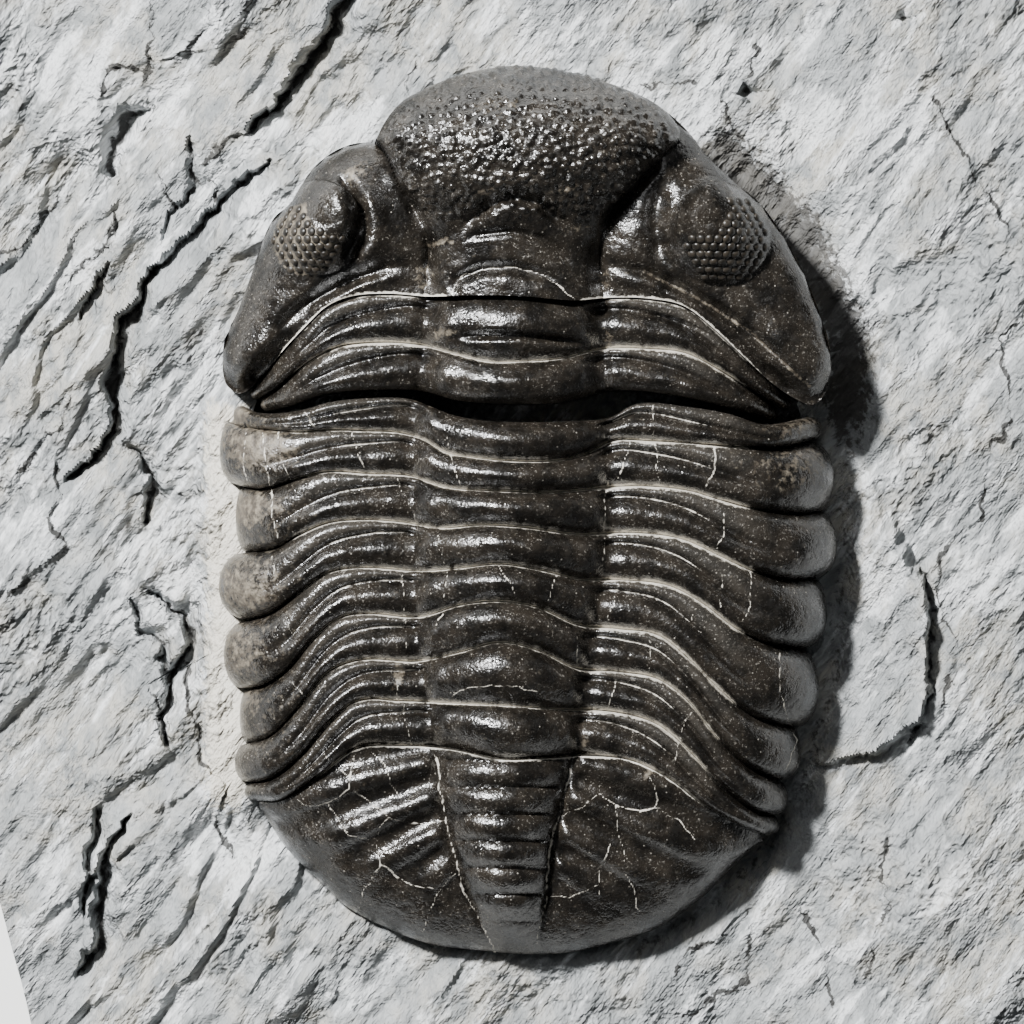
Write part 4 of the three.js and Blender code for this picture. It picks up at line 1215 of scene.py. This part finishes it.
    def lens_places(self, eye: Eye) -> list[tuple[float, float]]:
        """Places of an eye's lenses in staggered rows inside its patch.

        Args:
            eye: which eye.

        Returns:
            The place of each lens on the sheet.
        """
        places = []
        reach = int(max(eye.patch_half) / eye.pitch) + 2
        for row in range(-reach, reach + 1):
            for column in range(-reach, reach + 1):
                x = (column + row % 2 / 2) * eye.pitch
                y = row * eye.pitch * ROW_SPACING
                spot = eye.patch[0] + x, eye.patch[1] + y
                if eye.patch_at(np.array(spot[0]), np.array(spot[1])) > 0.5:
                    places.append(spot)
        return places


@dataclass
class ThoracicSegment:
    """One band of the body from tip to tip."""

    bench: Workbench
    number: int
    band: Band
    # Grid, how much it crowds towards its ends and the column where the long profiles are read
    columns: int = 380
    rows: int = 50
    crowding: float = 0.45
    reading_column: float = 420
    # Furrow of the side lobes: its place in the profile, and across the band by the axis and at the tip
    furrow: float = 0.445
    furrow_start: float = 0.2
    furrow_end: float = 0.58
    # Half widths of the pale lines, in steps
    joint_half: float = 0.9
    wide_joint_half: float = 2.1
    furrow_half: float = 0.7
    # Axial ring: where it turns into the side lobe, and how much narrower it is ahead of the gap
    ring_edge: tuple[float, float] = (0.76, 1.08)
    narrowing: float = 0.12
    # Furrow and boss at the ring's end: place, half width and depth or rise; then the ring's own dome
    axis_furrow: tuple[float, float, float] = (1.05, 0.11, 0.16)
    boss: tuple[float, float, float] = (0.86, 0.09, 0.2)
    dome: tuple[float, float] = (52, 0.32)

    def build(self) -> None:
        """Builds the band."""
        name = f"thoracic_segment_{self.number:02d}"
        front, rear = Profile(self.band.front), Profile(self.band.rear)
        v = np.linspace(0, 1, self.rows)[:, None]
        left_end = self.tip_end(self.band.left, v)
        right_end = self.tip_end(self.band.right, v)
        x = spaced(self.columns, left_end, right_end, self.crowding)
        row_y = lerp(front(self.reading_column), rear(self.reading_column), v) * np.ones_like(x)
        top, bottom = front(x) + JOINT_GAP, rear(x) - JOINT_GAP
        y = lerp(top, bottom, v)
        out = outwards(x, row_y, left_end, right_end)
        height = body_height(x, row_y, left_end, right_end) + self.relief(x, row_y, v, out) + ripple(x, y)
        if self.number == 1:
            height += strokes(FIRST_BAND_STROKES, x, y)
        furrow_v = self.furrow_place(out)
        dust = smoothstep(v, furrow_v, 0.6 * furrow_v) * smoothstep(out, 0, 0.08) * smoothstep(out, 0.75, 0.5)
        piece = self.bench.sheet(f"body_band_{self.number:02d}", place(x, y, height), dust=dust,
                                 line=self.lines(x, y, v, out, bottom - top), silt=silt_at(x, y))
        self.bench.back(piece)
        self.bench.dress(piece, name, "fossil", Finish.SHELL)

    @staticmethod
    def tip_end(readings: tuple[float, float, float], v: np.ndarray) -> np.ndarray:
        """End of each row: the three readings joined by a rounded tip."""
        front, tip, rear = readings
        return lerp(lerp(front, rear, v), tip, np.sqrt(1 - (2 * v - 1) ** 2))

    def relief(self, x: np.ndarray, y: np.ndarray, v: np.ndarray, out: np.ndarray) -> np.ndarray:
        """Relief of the band over the body's form: side lobes with a furrow, a plain ring, smooth tips.

        Args:
            x: places across the sheet.
            y: places down the sheet.
            v: places across the band, from 0 at its front edge to 1 at its rear edge.
            out: places from the axis edge to the tip.

        Returns:
            Millimetres above the body's form.
        """
        left, right = AXIS_LEFT(y), AXIS_RIGHT(y)
        across = np.abs((2 * x - left - right) / (right - left))
        narrow = self.narrowing * (self.number <= GAP_BAND)
        ring = 1 - smoothstep(across, *(edge - narrow for edge in self.ring_edge))
        furrow_v = self.furrow_place(out)
        ahead = v / furrow_v * self.furrow
        behind = self.furrow + (v - furrow_v) / (1 - furrow_v) * (1 - self.furrow)
        side = SIDE_RELIEF(np.where(v < furrow_v, ahead, behind))
        side = lerp(side, TIP_RELIEF(v), smoothstep(out, 0.5, 0.85))
        place_across, half, depth = self.axis_furrow
        furrow = -(depth + 3 * narrow) * bell(across - place_across + narrow, half)
        place_across, half, rise = self.boss
        boss = rise * bell(across - place_across + narrow, half, v - 0.5, 0.3)
        half, rise = self.dome
        dome = rise * bell(x - (left + right) / 2, half, v - 0.48, 0.34)
        return lerp(side, RING_RELIEF(v), ring) + furrow + boss + dome

    def furrow_place(self, out: np.ndarray) -> np.ndarray:
        """Where the furrow of a side lobe lies between the band's front edge, 0, and its rear edge, 1."""
        return lerp(self.furrow_start, self.furrow_end, smoothstep(out, 0, 0.75))

    def lines(self, x: np.ndarray, y: np.ndarray, v: np.ndarray, out: np.ndarray,
              length: np.ndarray) -> np.ndarray:
        """Distance to the nearest pale line at each place, counted in half widths of that line.

        Args:
            x: places across the sheet.
            y: places down the sheet.
            v: places across the band, from 0 at its front edge to 1 at its rear edge.
            out: places from the axis edge to the tip.
            length: length of the band at each place, in steps.

        Returns:
            The distance: below 1 on a line.
        """
        fade = 5 * smoothstep(out, 0.72 if self.number <= GAP_BAND else 0.6, 0.95)
        on_side = smoothstep(out, -0.1, 0.08)
        right_width = 0.2 if self.number == GAP_BAND + 1 else 1.0
        left_width = 1.0 if self.number <= GAP_BAND else 0.25
        wide = on_side * np.where(x > SHEET_MIDDLE, right_width, left_width)
        joint_half = lerp(self.joint_half, self.wide_joint_half, wide)
        hidden = 3.0 * (self.number == GAP_BAND + 1) + under_ring(x) * (self.number == 1)
        front_edge = v * length / joint_half + hidden
        rear_edge = (1 - v) * length / joint_half + 9 * (self.number == GAP_BAND)
        joint = np.minimum(front_edge, rear_edge) + fade
        furrow = np.abs(v - self.furrow_place(out)) * length / self.furrow_half
        furrow = furrow + 6 * smoothstep(out, 0.35, 0.75)
        furrow += 6 * smoothstep(out, 0.04, 0) + 0.2 + 1.2 * (self.number <= GAP_BAND)
        return np.minimum(np.minimum(joint, furrow), veins_at(x, y))


@dataclass
class Pygidium:
    """The tail shield: ringed axis, ribs that fan back from it and a smooth border."""

    bench: Workbench
    # Grid, its ends across the sheet and how much it crowds towards them
    columns: int = 340
    rows: int = 140
    left_end: float = 257.5
    right_end: float = 765.5
    crowding: float = 0.5
    row_growth: float = 1.2
    # Pale line of the front joint, and the ends of the band ahead of it
    joint_half: float = 1.4
    joint_ends: tuple[float, float] = (170, 250)
    front_ends: tuple[float, float] = (257, 766)
    # Rings of the axis and ribs beside it: pitch and start in steps, rise in millimetres
    ring_pitch: float = 27
    ring_start: float = 760
    ring_rise: float = 0.55
    rib_pitch: float = 34
    rib_start: float = 752
    rib_rise: float = 0.34
    axis_furrow_depth: float = 0.25

    def build(self) -> None:
        """Builds the tail."""
        across = spaced(self.columns, self.left_end, self.right_end, self.crowding)
        x = np.tile(across, (self.rows, 1))
        v = np.linspace(0, 1, self.rows)[:, None]
        v = 1 - (1 - v) ** self.row_growth
        top = Profile(TAIL_FRONT)(x) + JOINT_GAP
        rear = Profile(TAIL_REAR)(x)
        y = lerp(top, np.maximum(rear, top + 1), v)
        height = self.height(x, y, v) + ripple(x, y)
        joint = (y - top) / self.joint_half + 4 * smoothstep(np.abs(x - SHEET_MIDDLE), *self.joint_ends)
        line = np.minimum(joint, veins_at(x, y))
        piece = self.bench.sheet("tail_shield", place(x, y, height), line=line, silt=silt_at(x, y))
        self.bench.back(piece)
        self.bench.dress(piece, "pygidium", "fossil", Finish.SHELL)

    def height(self, x: np.ndarray, y: np.ndarray, v: np.ndarray) -> np.ndarray:
        """Height of the tail's surface.

        Args:
            x: places across the sheet.
            y: places down the sheet.
            v: places from the front edge, 0, to the rear edge, 1.

        Returns:
            Millimetres above the rock's mean face.
        """
        front_y = Profile(TAIL_FRONT)(x)
        left, right = AXIS_LEFT(y), AXIS_RIGHT(y)
        across = np.abs(2 * x - left - right) / (right - left)
        front = body_height(x, front_y, *self.front_ends) - axis_part(x, front_y)
        base = TIP_HEIGHT + (front - TIP_HEIGHT) * (1 - v ** 2.2) ** 0.6
        out = np.maximum(0, np.where(x < (left + right) / 2, left - x, x - right))
        root = (y + 2.4 * out) / (1 + 0.0035 * out)
        fade = (1 - smoothstep(v, 0.45, 0.85)) * smoothstep(out, 2, 14)
        wave = np.sin((root - self.rib_start) / self.rib_pitch * 2 * math.pi)
        ribs = self.rib_rise * np.sign(wave) * np.abs(wave) ** 0.8 * fade
        ring_wave = np.abs(np.sin((y - self.ring_start) / self.ring_pitch * math.pi))
        rings = np.where(across < 1, self.ring_rise * (ring_wave ** 0.6 - 0.5), 0)
        rings = rings * (1 - smoothstep(y, 880, 940))
        rings = rings * (1 - smoothstep(across, 0.85, 1))
        furrow = -self.axis_furrow_depth * bell(across - 1.02, 0.07) * (1 - smoothstep(y, 900, 950))
        return base + axis_part(x, y) * (1 - v ** 8) + ribs + rings + furrow


@dataclass
class Matrix:
    """The slab of limestone: rough upper face with a pocket for the fossil, broken sides, flat underside."""

    bench: Workbench
    # Grid round the fossil and the place that it runs round
    around: int = 1100
    outward: int = 140
    centre: tuple[float, float] = (525, 512)
    # How far the pocket's edge lies under the fossil in steps, and over how many columns it is evened out
    pocket_margin: float = 9
    pocket_window: int = 9
    # Half sizes of the slab and limits of the pocket in millimetres
    half_size: tuple[float, float] = (33, 36)
    pocket_limits: tuple[float, float] = (27, 31)
    # Sides of the slab: rows, depth of the chips in millimetres and chips in a metre
    wall_steps: int = 6
    wall_rough: float = 0.5
    chip_pitch: float = 260
    # Cosine and sine of the slope of the rock's grain on the sheet
    slant: tuple[float, float] = (0.79, 0.61)
    angles: np.ndarray = field(init=False)

    def build(self) -> None:
        """Builds the slab."""
        self.angles = np.linspace(0, 2 * math.pi, self.around + 1)
        part = np.linspace(1, 0, self.outward)[:, None]
        radius = lerp(self.inner_radius(), self.outer_radius(), part)
        x = self.centre[0] + radius * np.cos(-self.angles)
        y = self.centre[1] + radius * np.sin(-self.angles)
        piece = self.bench.sheet("limestone_slab", place(x, y, np.zeros_like(x)))
        self.close_ring()
        self.press(piece)
        self.walls(piece)
        self.bench.dress(piece, "matrix", "rock", Finish.ROCK)

    def inner_radius(self) -> np.ndarray:
        """Radius of the pocket's edge under the fossil's rim, at each angle."""
        outline = self.fossil_outline()
        offsets = outline - np.array(self.centre)
        turn = np.arctan2(-offsets[:, 1], offsets[:, 0]) % (2 * math.pi)
        order = np.argsort(turn)
        reach = np.interp(self.angles[:-1], turn[order], np.hypot(*offsets[order].T), period=2 * math.pi)
        window = self.pocket_window
        wrapped = np.concatenate((reach[-window:], reach, reach[:window]))
        lowest = np.min([wrapped[i:i + self.around] for i in range(2 * window + 1)], axis=0)
        return np.append(lowest, lowest[0]) - self.pocket_margin

    def outer_radius(self) -> np.ndarray:
        """Radius of the slab's edge at each angle, found by halving the span between inside and outside."""
        half_width, half_length = self.half_size
        centre_x = (self.centre[0] - SHEET_MIDDLE) * RULE
        centre_y = (SHEET_MIDDLE - self.centre[1]) * RULE
        directions = np.column_stack((np.cos(self.angles), np.sin(self.angles)))
        low = np.zeros(len(directions))
        high = np.full(len(directions), 60.0)
        for _ in range(24):
            middle = (low + high) / 2
            px = centre_x + middle * directions[:, 0]
            py = centre_y + middle * directions[:, 1]
            a, b = np.clip(px / half_width, -1, 1), np.clip(py / half_length, -1, 1)
            wide = np.where(px < 0, SLAB_LEFT(b), SLAB_RIGHT(b))
            tall = np.where(py < 0, SLAB_BOTTOM(a), SLAB_TOP(a))
            inside = (np.abs(px) < wide) & (np.abs(py) < tall)
            low = np.where(inside, middle, low)
            high = np.where(inside, high, middle)
        return low / RULE

    @staticmethod
    def fossil_outline() -> np.ndarray:
        """The fossil's outline on the sheet: head, tips on the right, tail and tips on the left."""
        steps = np.linspace(0, 1, 9)
        right, left = [], []
        for band in BANDS[2:]:
            for readings, found in ((band.right, right), (band.left, left)):
                x = ThoracicSegment.tip_end(readings, steps)
                y = lerp(Profile(band.front)(x), Profile(band.rear)(x), steps)
                found.extend(zip(x, y))
        return np.array([*HEAD_FRONT, *right, *TAIL_REAR[::-1], *left[::-1]])

    def close_ring(self) -> None:
        """Joins the two ends of the sheet, which meet, so that it runs round the fossil."""
        bpy.ops.object.mode_set(mode="EDIT")
        bpy.ops.mesh.select_all(action="SELECT")
        bpy.ops.mesh.remove_doubles(threshold=1e-7)
        self.bench.face_outwards()

    def press(self, piece: bpy.types.Object) -> None:
        """Presses the rock's relief into the ring and gives its points the values that its finish reads.

        Args:
            piece: the ring.
        """
        points = self.bench.points(piece)
        if piece.data.polygons[0].normal.z < 0:
            piece.data.flip_normals()
        x = points[:, 0] / MILLIMETRE / RULE + SHEET_MIDDLE
        y = SHEET_MIDDLE - points[:, 1] / MILLIMETRE / RULE
        height, values = self.relief(x, y)
        points[:, 2] = (ROCK_FACE + height) * MILLIMETRE
        self.bench.move(piece, points)
        self.bench.give(piece, values)

    def relief(self, x: np.ndarray, y: np.ndarray) -> tuple[np.ndarray, dict[str, np.ndarray]]:
        """The rock's upper face.

        Args:
            x: places across the sheet.
            y: places down the sheet.

        Returns:
            Its height in millimetres, and the values that its finish reads.
        """
        calm = 1 - 0.6 * smoothstep(x, 200, 700)
        moved = wander(*wander(x, y, 7, 38), 3.5, 12, 4.4)
        height = self.layers(x, y, calm, moved)
        # Distance to the open cracks' mouths, inside which the finish paints shade
        shaded_opening = self.open_cracks(x, y, height, moved)
        silt = np.exp(-((x - 226) / 25) ** 4) * smoothstep(y, 380, 420) * (1 - smoothstep(y, 790, 830))
        silt = np.maximum(silt, 0.7 * bell(x - 262, 34, y - 418, 16))
        beside_body = smoothstep(y, 400, 470)
        trench = bell(distance_to(TRENCH, x, y)[0], lerp(28, 17, beside_body))
        trench = trench * lerp(1, 0.7, beside_body)
        # Pale patches: partly powdery white rock, partly painted light on lit slopes
        pale = np.zeros_like(x)
        for px, py, half_x, half_y in PALE:
            pale = np.maximum(pale, bell(x - px, half_x, y - py, half_y))
        height = height * (1 - 0.7 * silt) + 0.8 * silt - 0.9 * trench
        crack, near = self.fine_cracks(height, calm, moved)
        # The last value paints shadow with dark debris into the trench, half as strong beside the body
        return height, {"crack": crack, "near": near, "silt": silt, "shaded_opening": shaded_opening, "pale": pale,
                        "shade_and_debris": trench * lerp(1, 0.5, beside_body)}

    def layers(self, x: np.ndarray, y: np.ndarray, calm: np.ndarray,
               moved: tuple[np.ndarray, np.ndarray]) -> np.ndarray:
        """The rock's relief without its cracks: slow waves, ledges, terraces and splinters along its grain.

        Args:
            x: places across the sheet.
            y: places down the sheet.
            calm: how strong the relief is at each place, from 0 to 1.
            moved: the same places, moved so that the ledges wander.

        Returns:
            Its height in millimetres.
        """
        cosine, sine = self.slant
        across = cosine * x + sine * y
        along = cosine * y - sine * x
        waves = 0.4 * np.sin(across / 41 + np.sin(along / 90)) + 0.25 * np.sin(across / 17 + along / 70)
        height = calm * waves
        for points, rise, reach in LEDGES:
            distance, side, part = distance_to(points, *moved)
            step = smoothstep(-side * distance, -5, 3) * smoothstep(part, 0, 0.25)
            height += rise * step * np.exp(-distance / reach)
        height += calm * self.terraces(across, along) + 0.3 * grain(x, y, 90, 4.2, 6)
        splinters = grain(across, along / 3.2, 30, 1.5, 5)
        return height + lerp(0.3, 0.6, calm) * (0.12 - np.abs(splinters))

    @staticmethod
    def open_cracks(x: np.ndarray, y: np.ndarray, height: np.ndarray,
                    moved: tuple[np.ndarray, np.ndarray]) -> np.ndarray:
        """Cuts the open cracks into the relief, each with one steep side, a low lip and one gentle side.

        Args:
            x: places across the sheet.
            y: places down the sheet.
            height: the relief in millimetres, which is cut in place.
            moved: the same places, moved so that the cracks wander.

        Returns:
            Distance to the nearest crack's mouth in steps, below 0 inside it, where the finish paints shade.
        """
        swell = 0.85 + 0.7 * np.clip(grain(x, y, 30, 6.6, 3), -0.6, 0.8)
        shaded_opening = np.full_like(x, FAR)
        for points, half, depth in OPEN_CRACKS:
            distance, side, part = distance_to(points, *moved)
            room = half * (0.3 + 0.7 * np.sin(math.pi * np.clip(part, 0, 1)) ** 0.6) * swell
            steep = smoothstep(distance, room * 1.15 + 1, room * 0.3)
            gentle = np.exp(-(distance / (1.9 * room)) ** 1.4)
            lip = 0.16 * bell(distance, 2.6 * room)
            height -= depth * np.where(side > 0, gentle, steep - lip * (1 - steep))
            shaded_opening = np.minimum(shaded_opening, distance - room * np.where(side > 0, 0.7, 0.6))
        return shaded_opening

    @staticmethod
    def fine_cracks(height: np.ndarray, calm: np.ndarray,
                    moved: tuple[np.ndarray, np.ndarray]) -> tuple[np.ndarray, np.ndarray]:
        """Presses the fine cracks into the relief, each with one side a little lower than the other.

        Args:
            height: the relief in millimetres, which is changed in place.
            calm: how strong the relief is at each place, from 0 to 1.
            moved: the places, moved so that the cracks wander.

        Returns:
            Distance to the nearest crack in steps, first with a sign for its side and then without one.
        """
        crack = np.full_like(height, FAR)
        near = np.full_like(height, FAR)
        for points in FINE_CRACKS:
            distance, side, _ = distance_to(points, *moved)
            height += calm * np.where(side > 0, -0.16, 0.1) * np.exp(-distance / 9)
            crack = np.where(distance < near, distance * side, crack)
            near = np.minimum(near, distance)
        return crack, near

    @staticmethod
    def terraces(across: np.ndarray, along: np.ndarray) -> np.ndarray:
        """Low steps where layers of the rock have flaked off, each with a sharp edge along the grain."""
        total = np.zeros_like(across)
        for size, step, seed in ((80, 0.8, 2.2), (35, 0.22, 5.6)):
            lie = across / size + 1.5 * grain(across, along / 2.4, size * 2.2, seed, 4)
            part = lie - np.floor(lie)
            height = step * np.clip(0.5 + grain(across, along, size * 3, seed + 1.3, 2), 0.1, 1)
            total += height * (part - smoothstep(part, 0.86, 1))
        return total

    def walls(self, piece: bpy.types.Object) -> None:
        """Draws the pocket's rim down to its floor and the slab's rim down to its underside.

        Args:
            piece: the ring of rock.
        """
        mesh = piece.data
        self.bench.select_rims()
        bpy.ops.mesh.select_mode(type="VERT")
        bpy.ops.object.mode_set(mode="OBJECT")
        rim = np.zeros(len(mesh.vertices), dtype=bool)
        mesh.vertices.foreach_get("select", rim)
        beyond = np.abs(self.bench.points(piece)[:, :2]) > np.array(self.pocket_limits) * MILLIMETRE
        slab = beyond.any(axis=1)
        self.draw_down(piece, rim & ~slab, 1, BED - CLEARANCE)
        slab = np.append(rim & slab, np.zeros(len(mesh.vertices) - len(rim), dtype=bool))
        self.draw_down(piece, slab, self.wall_steps, 0.0)
        bpy.ops.object.mode_set(mode="EDIT")
        self.bench.face_outwards()
        self.roughen(piece)

    def draw_down(self, piece: bpy.types.Object, chosen: np.ndarray, steps: int, floor: float) -> None:
        """Extrudes a closed rim down in steps and closes it with a flat face.

        Args:
            piece: the mesh's object.
            chosen: which vertices form the rim.
            steps: how many steps the wall has.
            floor: the height of the flat face in millimetres.
        """
        mesh = piece.data
        mesh.edges.foreach_set("select", np.zeros(len(mesh.edges), dtype=bool))
        mesh.polygons.foreach_set("select", np.zeros(len(mesh.polygons), dtype=bool))
        mesh.vertices.foreach_set("select", chosen)
        edges = np.empty(len(mesh.edges) * 2, dtype=np.int32)
        mesh.edges.foreach_get("vertices", edges)
        mesh.edges.foreach_set("select", chosen[edges.reshape(-1, 2)].all(axis=1))
        bpy.ops.object.mode_set(mode="EDIT")
        bpy.ops.mesh.select_mode(type="EDGE")
        for left in range(steps, 0, -1):
            bpy.ops.mesh.extrude_edges_move(TRANSFORM_OT_translate={"value": (0, 0, 0)})
            bpy.ops.transform.resize(value=(1, 1, (left - 1) / left),
                                     center_override=(0, 0, floor * MILLIMETRE))
        bpy.ops.mesh.edge_face_add()
        bpy.ops.object.mode_set(mode="OBJECT")

    def roughen(self, piece: bpy.types.Object) -> None:
        """Breaks up the slab's four sides, which the wall left smooth."""
        points = self.bench.points(piece)
        low = points[:, 2] < (BED - CLEARANCE - 0.1) * MILLIMETRE
        chips = [noise.fractal(Vector(p) * self.chip_pitch, 0.9, 2.1, 5) for p in points[low].tolist()]
        inward = 1 + self.wall_rough * MILLIMETRE * (np.array(chips) - 0.4) / np.hypot(*points[low, :2].T)
        points[low, :2] *= inward[:, None]
        self.bench.move(piece, points)


@dataclass(frozen=True)
class Lamp:
    """One square light that looks at the fossil.

    Its power is in watts, its side and distance in metres. It stands in a direction round the object, lifted
    above the horizon.
    """

    name: str
    power: float
    size: float
    turn: float
    lift: float
    distance: float = 0.7

    def hang(self) -> None:
        """Hangs the light."""
        data = bpy.data.lights.new(self.name, "AREA")
        data.energy = self.power
        data.size = self.size
        lamp = bpy.data.objects.new(self.name, data)
        bpy.context.collection.objects.link(lamp)
        level = math.cos(self.lift)
        ray = Vector((level * math.cos(self.turn), level * math.sin(self.turn), math.sin(self.lift)))
        lamp.location = ray * self.distance + Vector((0, 0, ROCK_FACE * MILLIMETRE))
        lamp.rotation_mode = "QUATERNION"
        lamp.rotation_quaternion = ray.to_track_quat("Z", "Y")


@dataclass(frozen=True)
class Studio:
    """Floor, lights and camera."""

    # Floor in metres; camera's lens and sensor, width that it takes in and the height where it does, in
    # millimetres
    floor_size: float = 3
    lens: float = 500
    sensor: float = 36
    frame_width: float = 61.44
    sheet_height: float = 20
    lamps: tuple[Lamp, ...] = (
        Lamp("key", power=17.5, size=0.075, turn=math.radians(133), lift=math.radians(47)),
        Lamp("soft", power=0.8, size=0.4, turn=math.radians(110), lift=math.radians(62)),
    )
    sky: tuple[float, float, float, float] = (0.9, 0.95, 1, 1)
    sky_strength: float = 0.05

    def build(self) -> None:
        """Sets up the stage."""
        bpy.ops.object.select_all(action="DESELECT")
        bpy.ops.mesh.primitive_plane_add(size=self.floor_size)
        floor = bpy.context.active_object
        floor.name = "floor"
        floor.data.materials.append(PlainFinish().material())
        for lamp in self.lamps:
            lamp.hang()
        world = bpy.data.worlds.new("studio")
        bpy.context.scene.world = world
        world.use_nodes = True
        background = world.node_tree.nodes["Background"]
        background.inputs["Color"].default_value = self.sky
        background.inputs["Strength"].default_value = self.sky_strength
        self.camera()

    def camera(self) -> None:
        """Stands the camera straight above the slab, its upper side towards the head."""
        data = bpy.data.cameras.new("camera")
        data.lens = self.lens
        data.sensor_width = self.sensor
        camera = bpy.data.objects.new("camera", data)
        bpy.context.collection.objects.link(camera)
        distance = self.lens / self.sensor * self.frame_width
        camera.location = (0, 0, (self.sheet_height + distance) * MILLIMETRE)
        bpy.context.scene.camera = camera


def main() -> None:
    """Builds every piece in order."""
    logging.basicConfig(level=logging.INFO, format="%(message)s")
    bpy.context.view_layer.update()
    finishes = {
        Finish.SHELL: ShellFinish().material(),
        Finish.LENS: LensFinish().material(),
        Finish.ROCK: RockFinish().material(),
    }
    bench = Workbench(finishes)
    Matrix(bench).build()
    Cephalon(bench).build()
    for number, band in enumerate(BANDS, 1):
        ThoracicSegment(bench, number, band).build()
    Pygidium(bench).build()
    Studio().build()


if __name__ == "__main__":
    main()
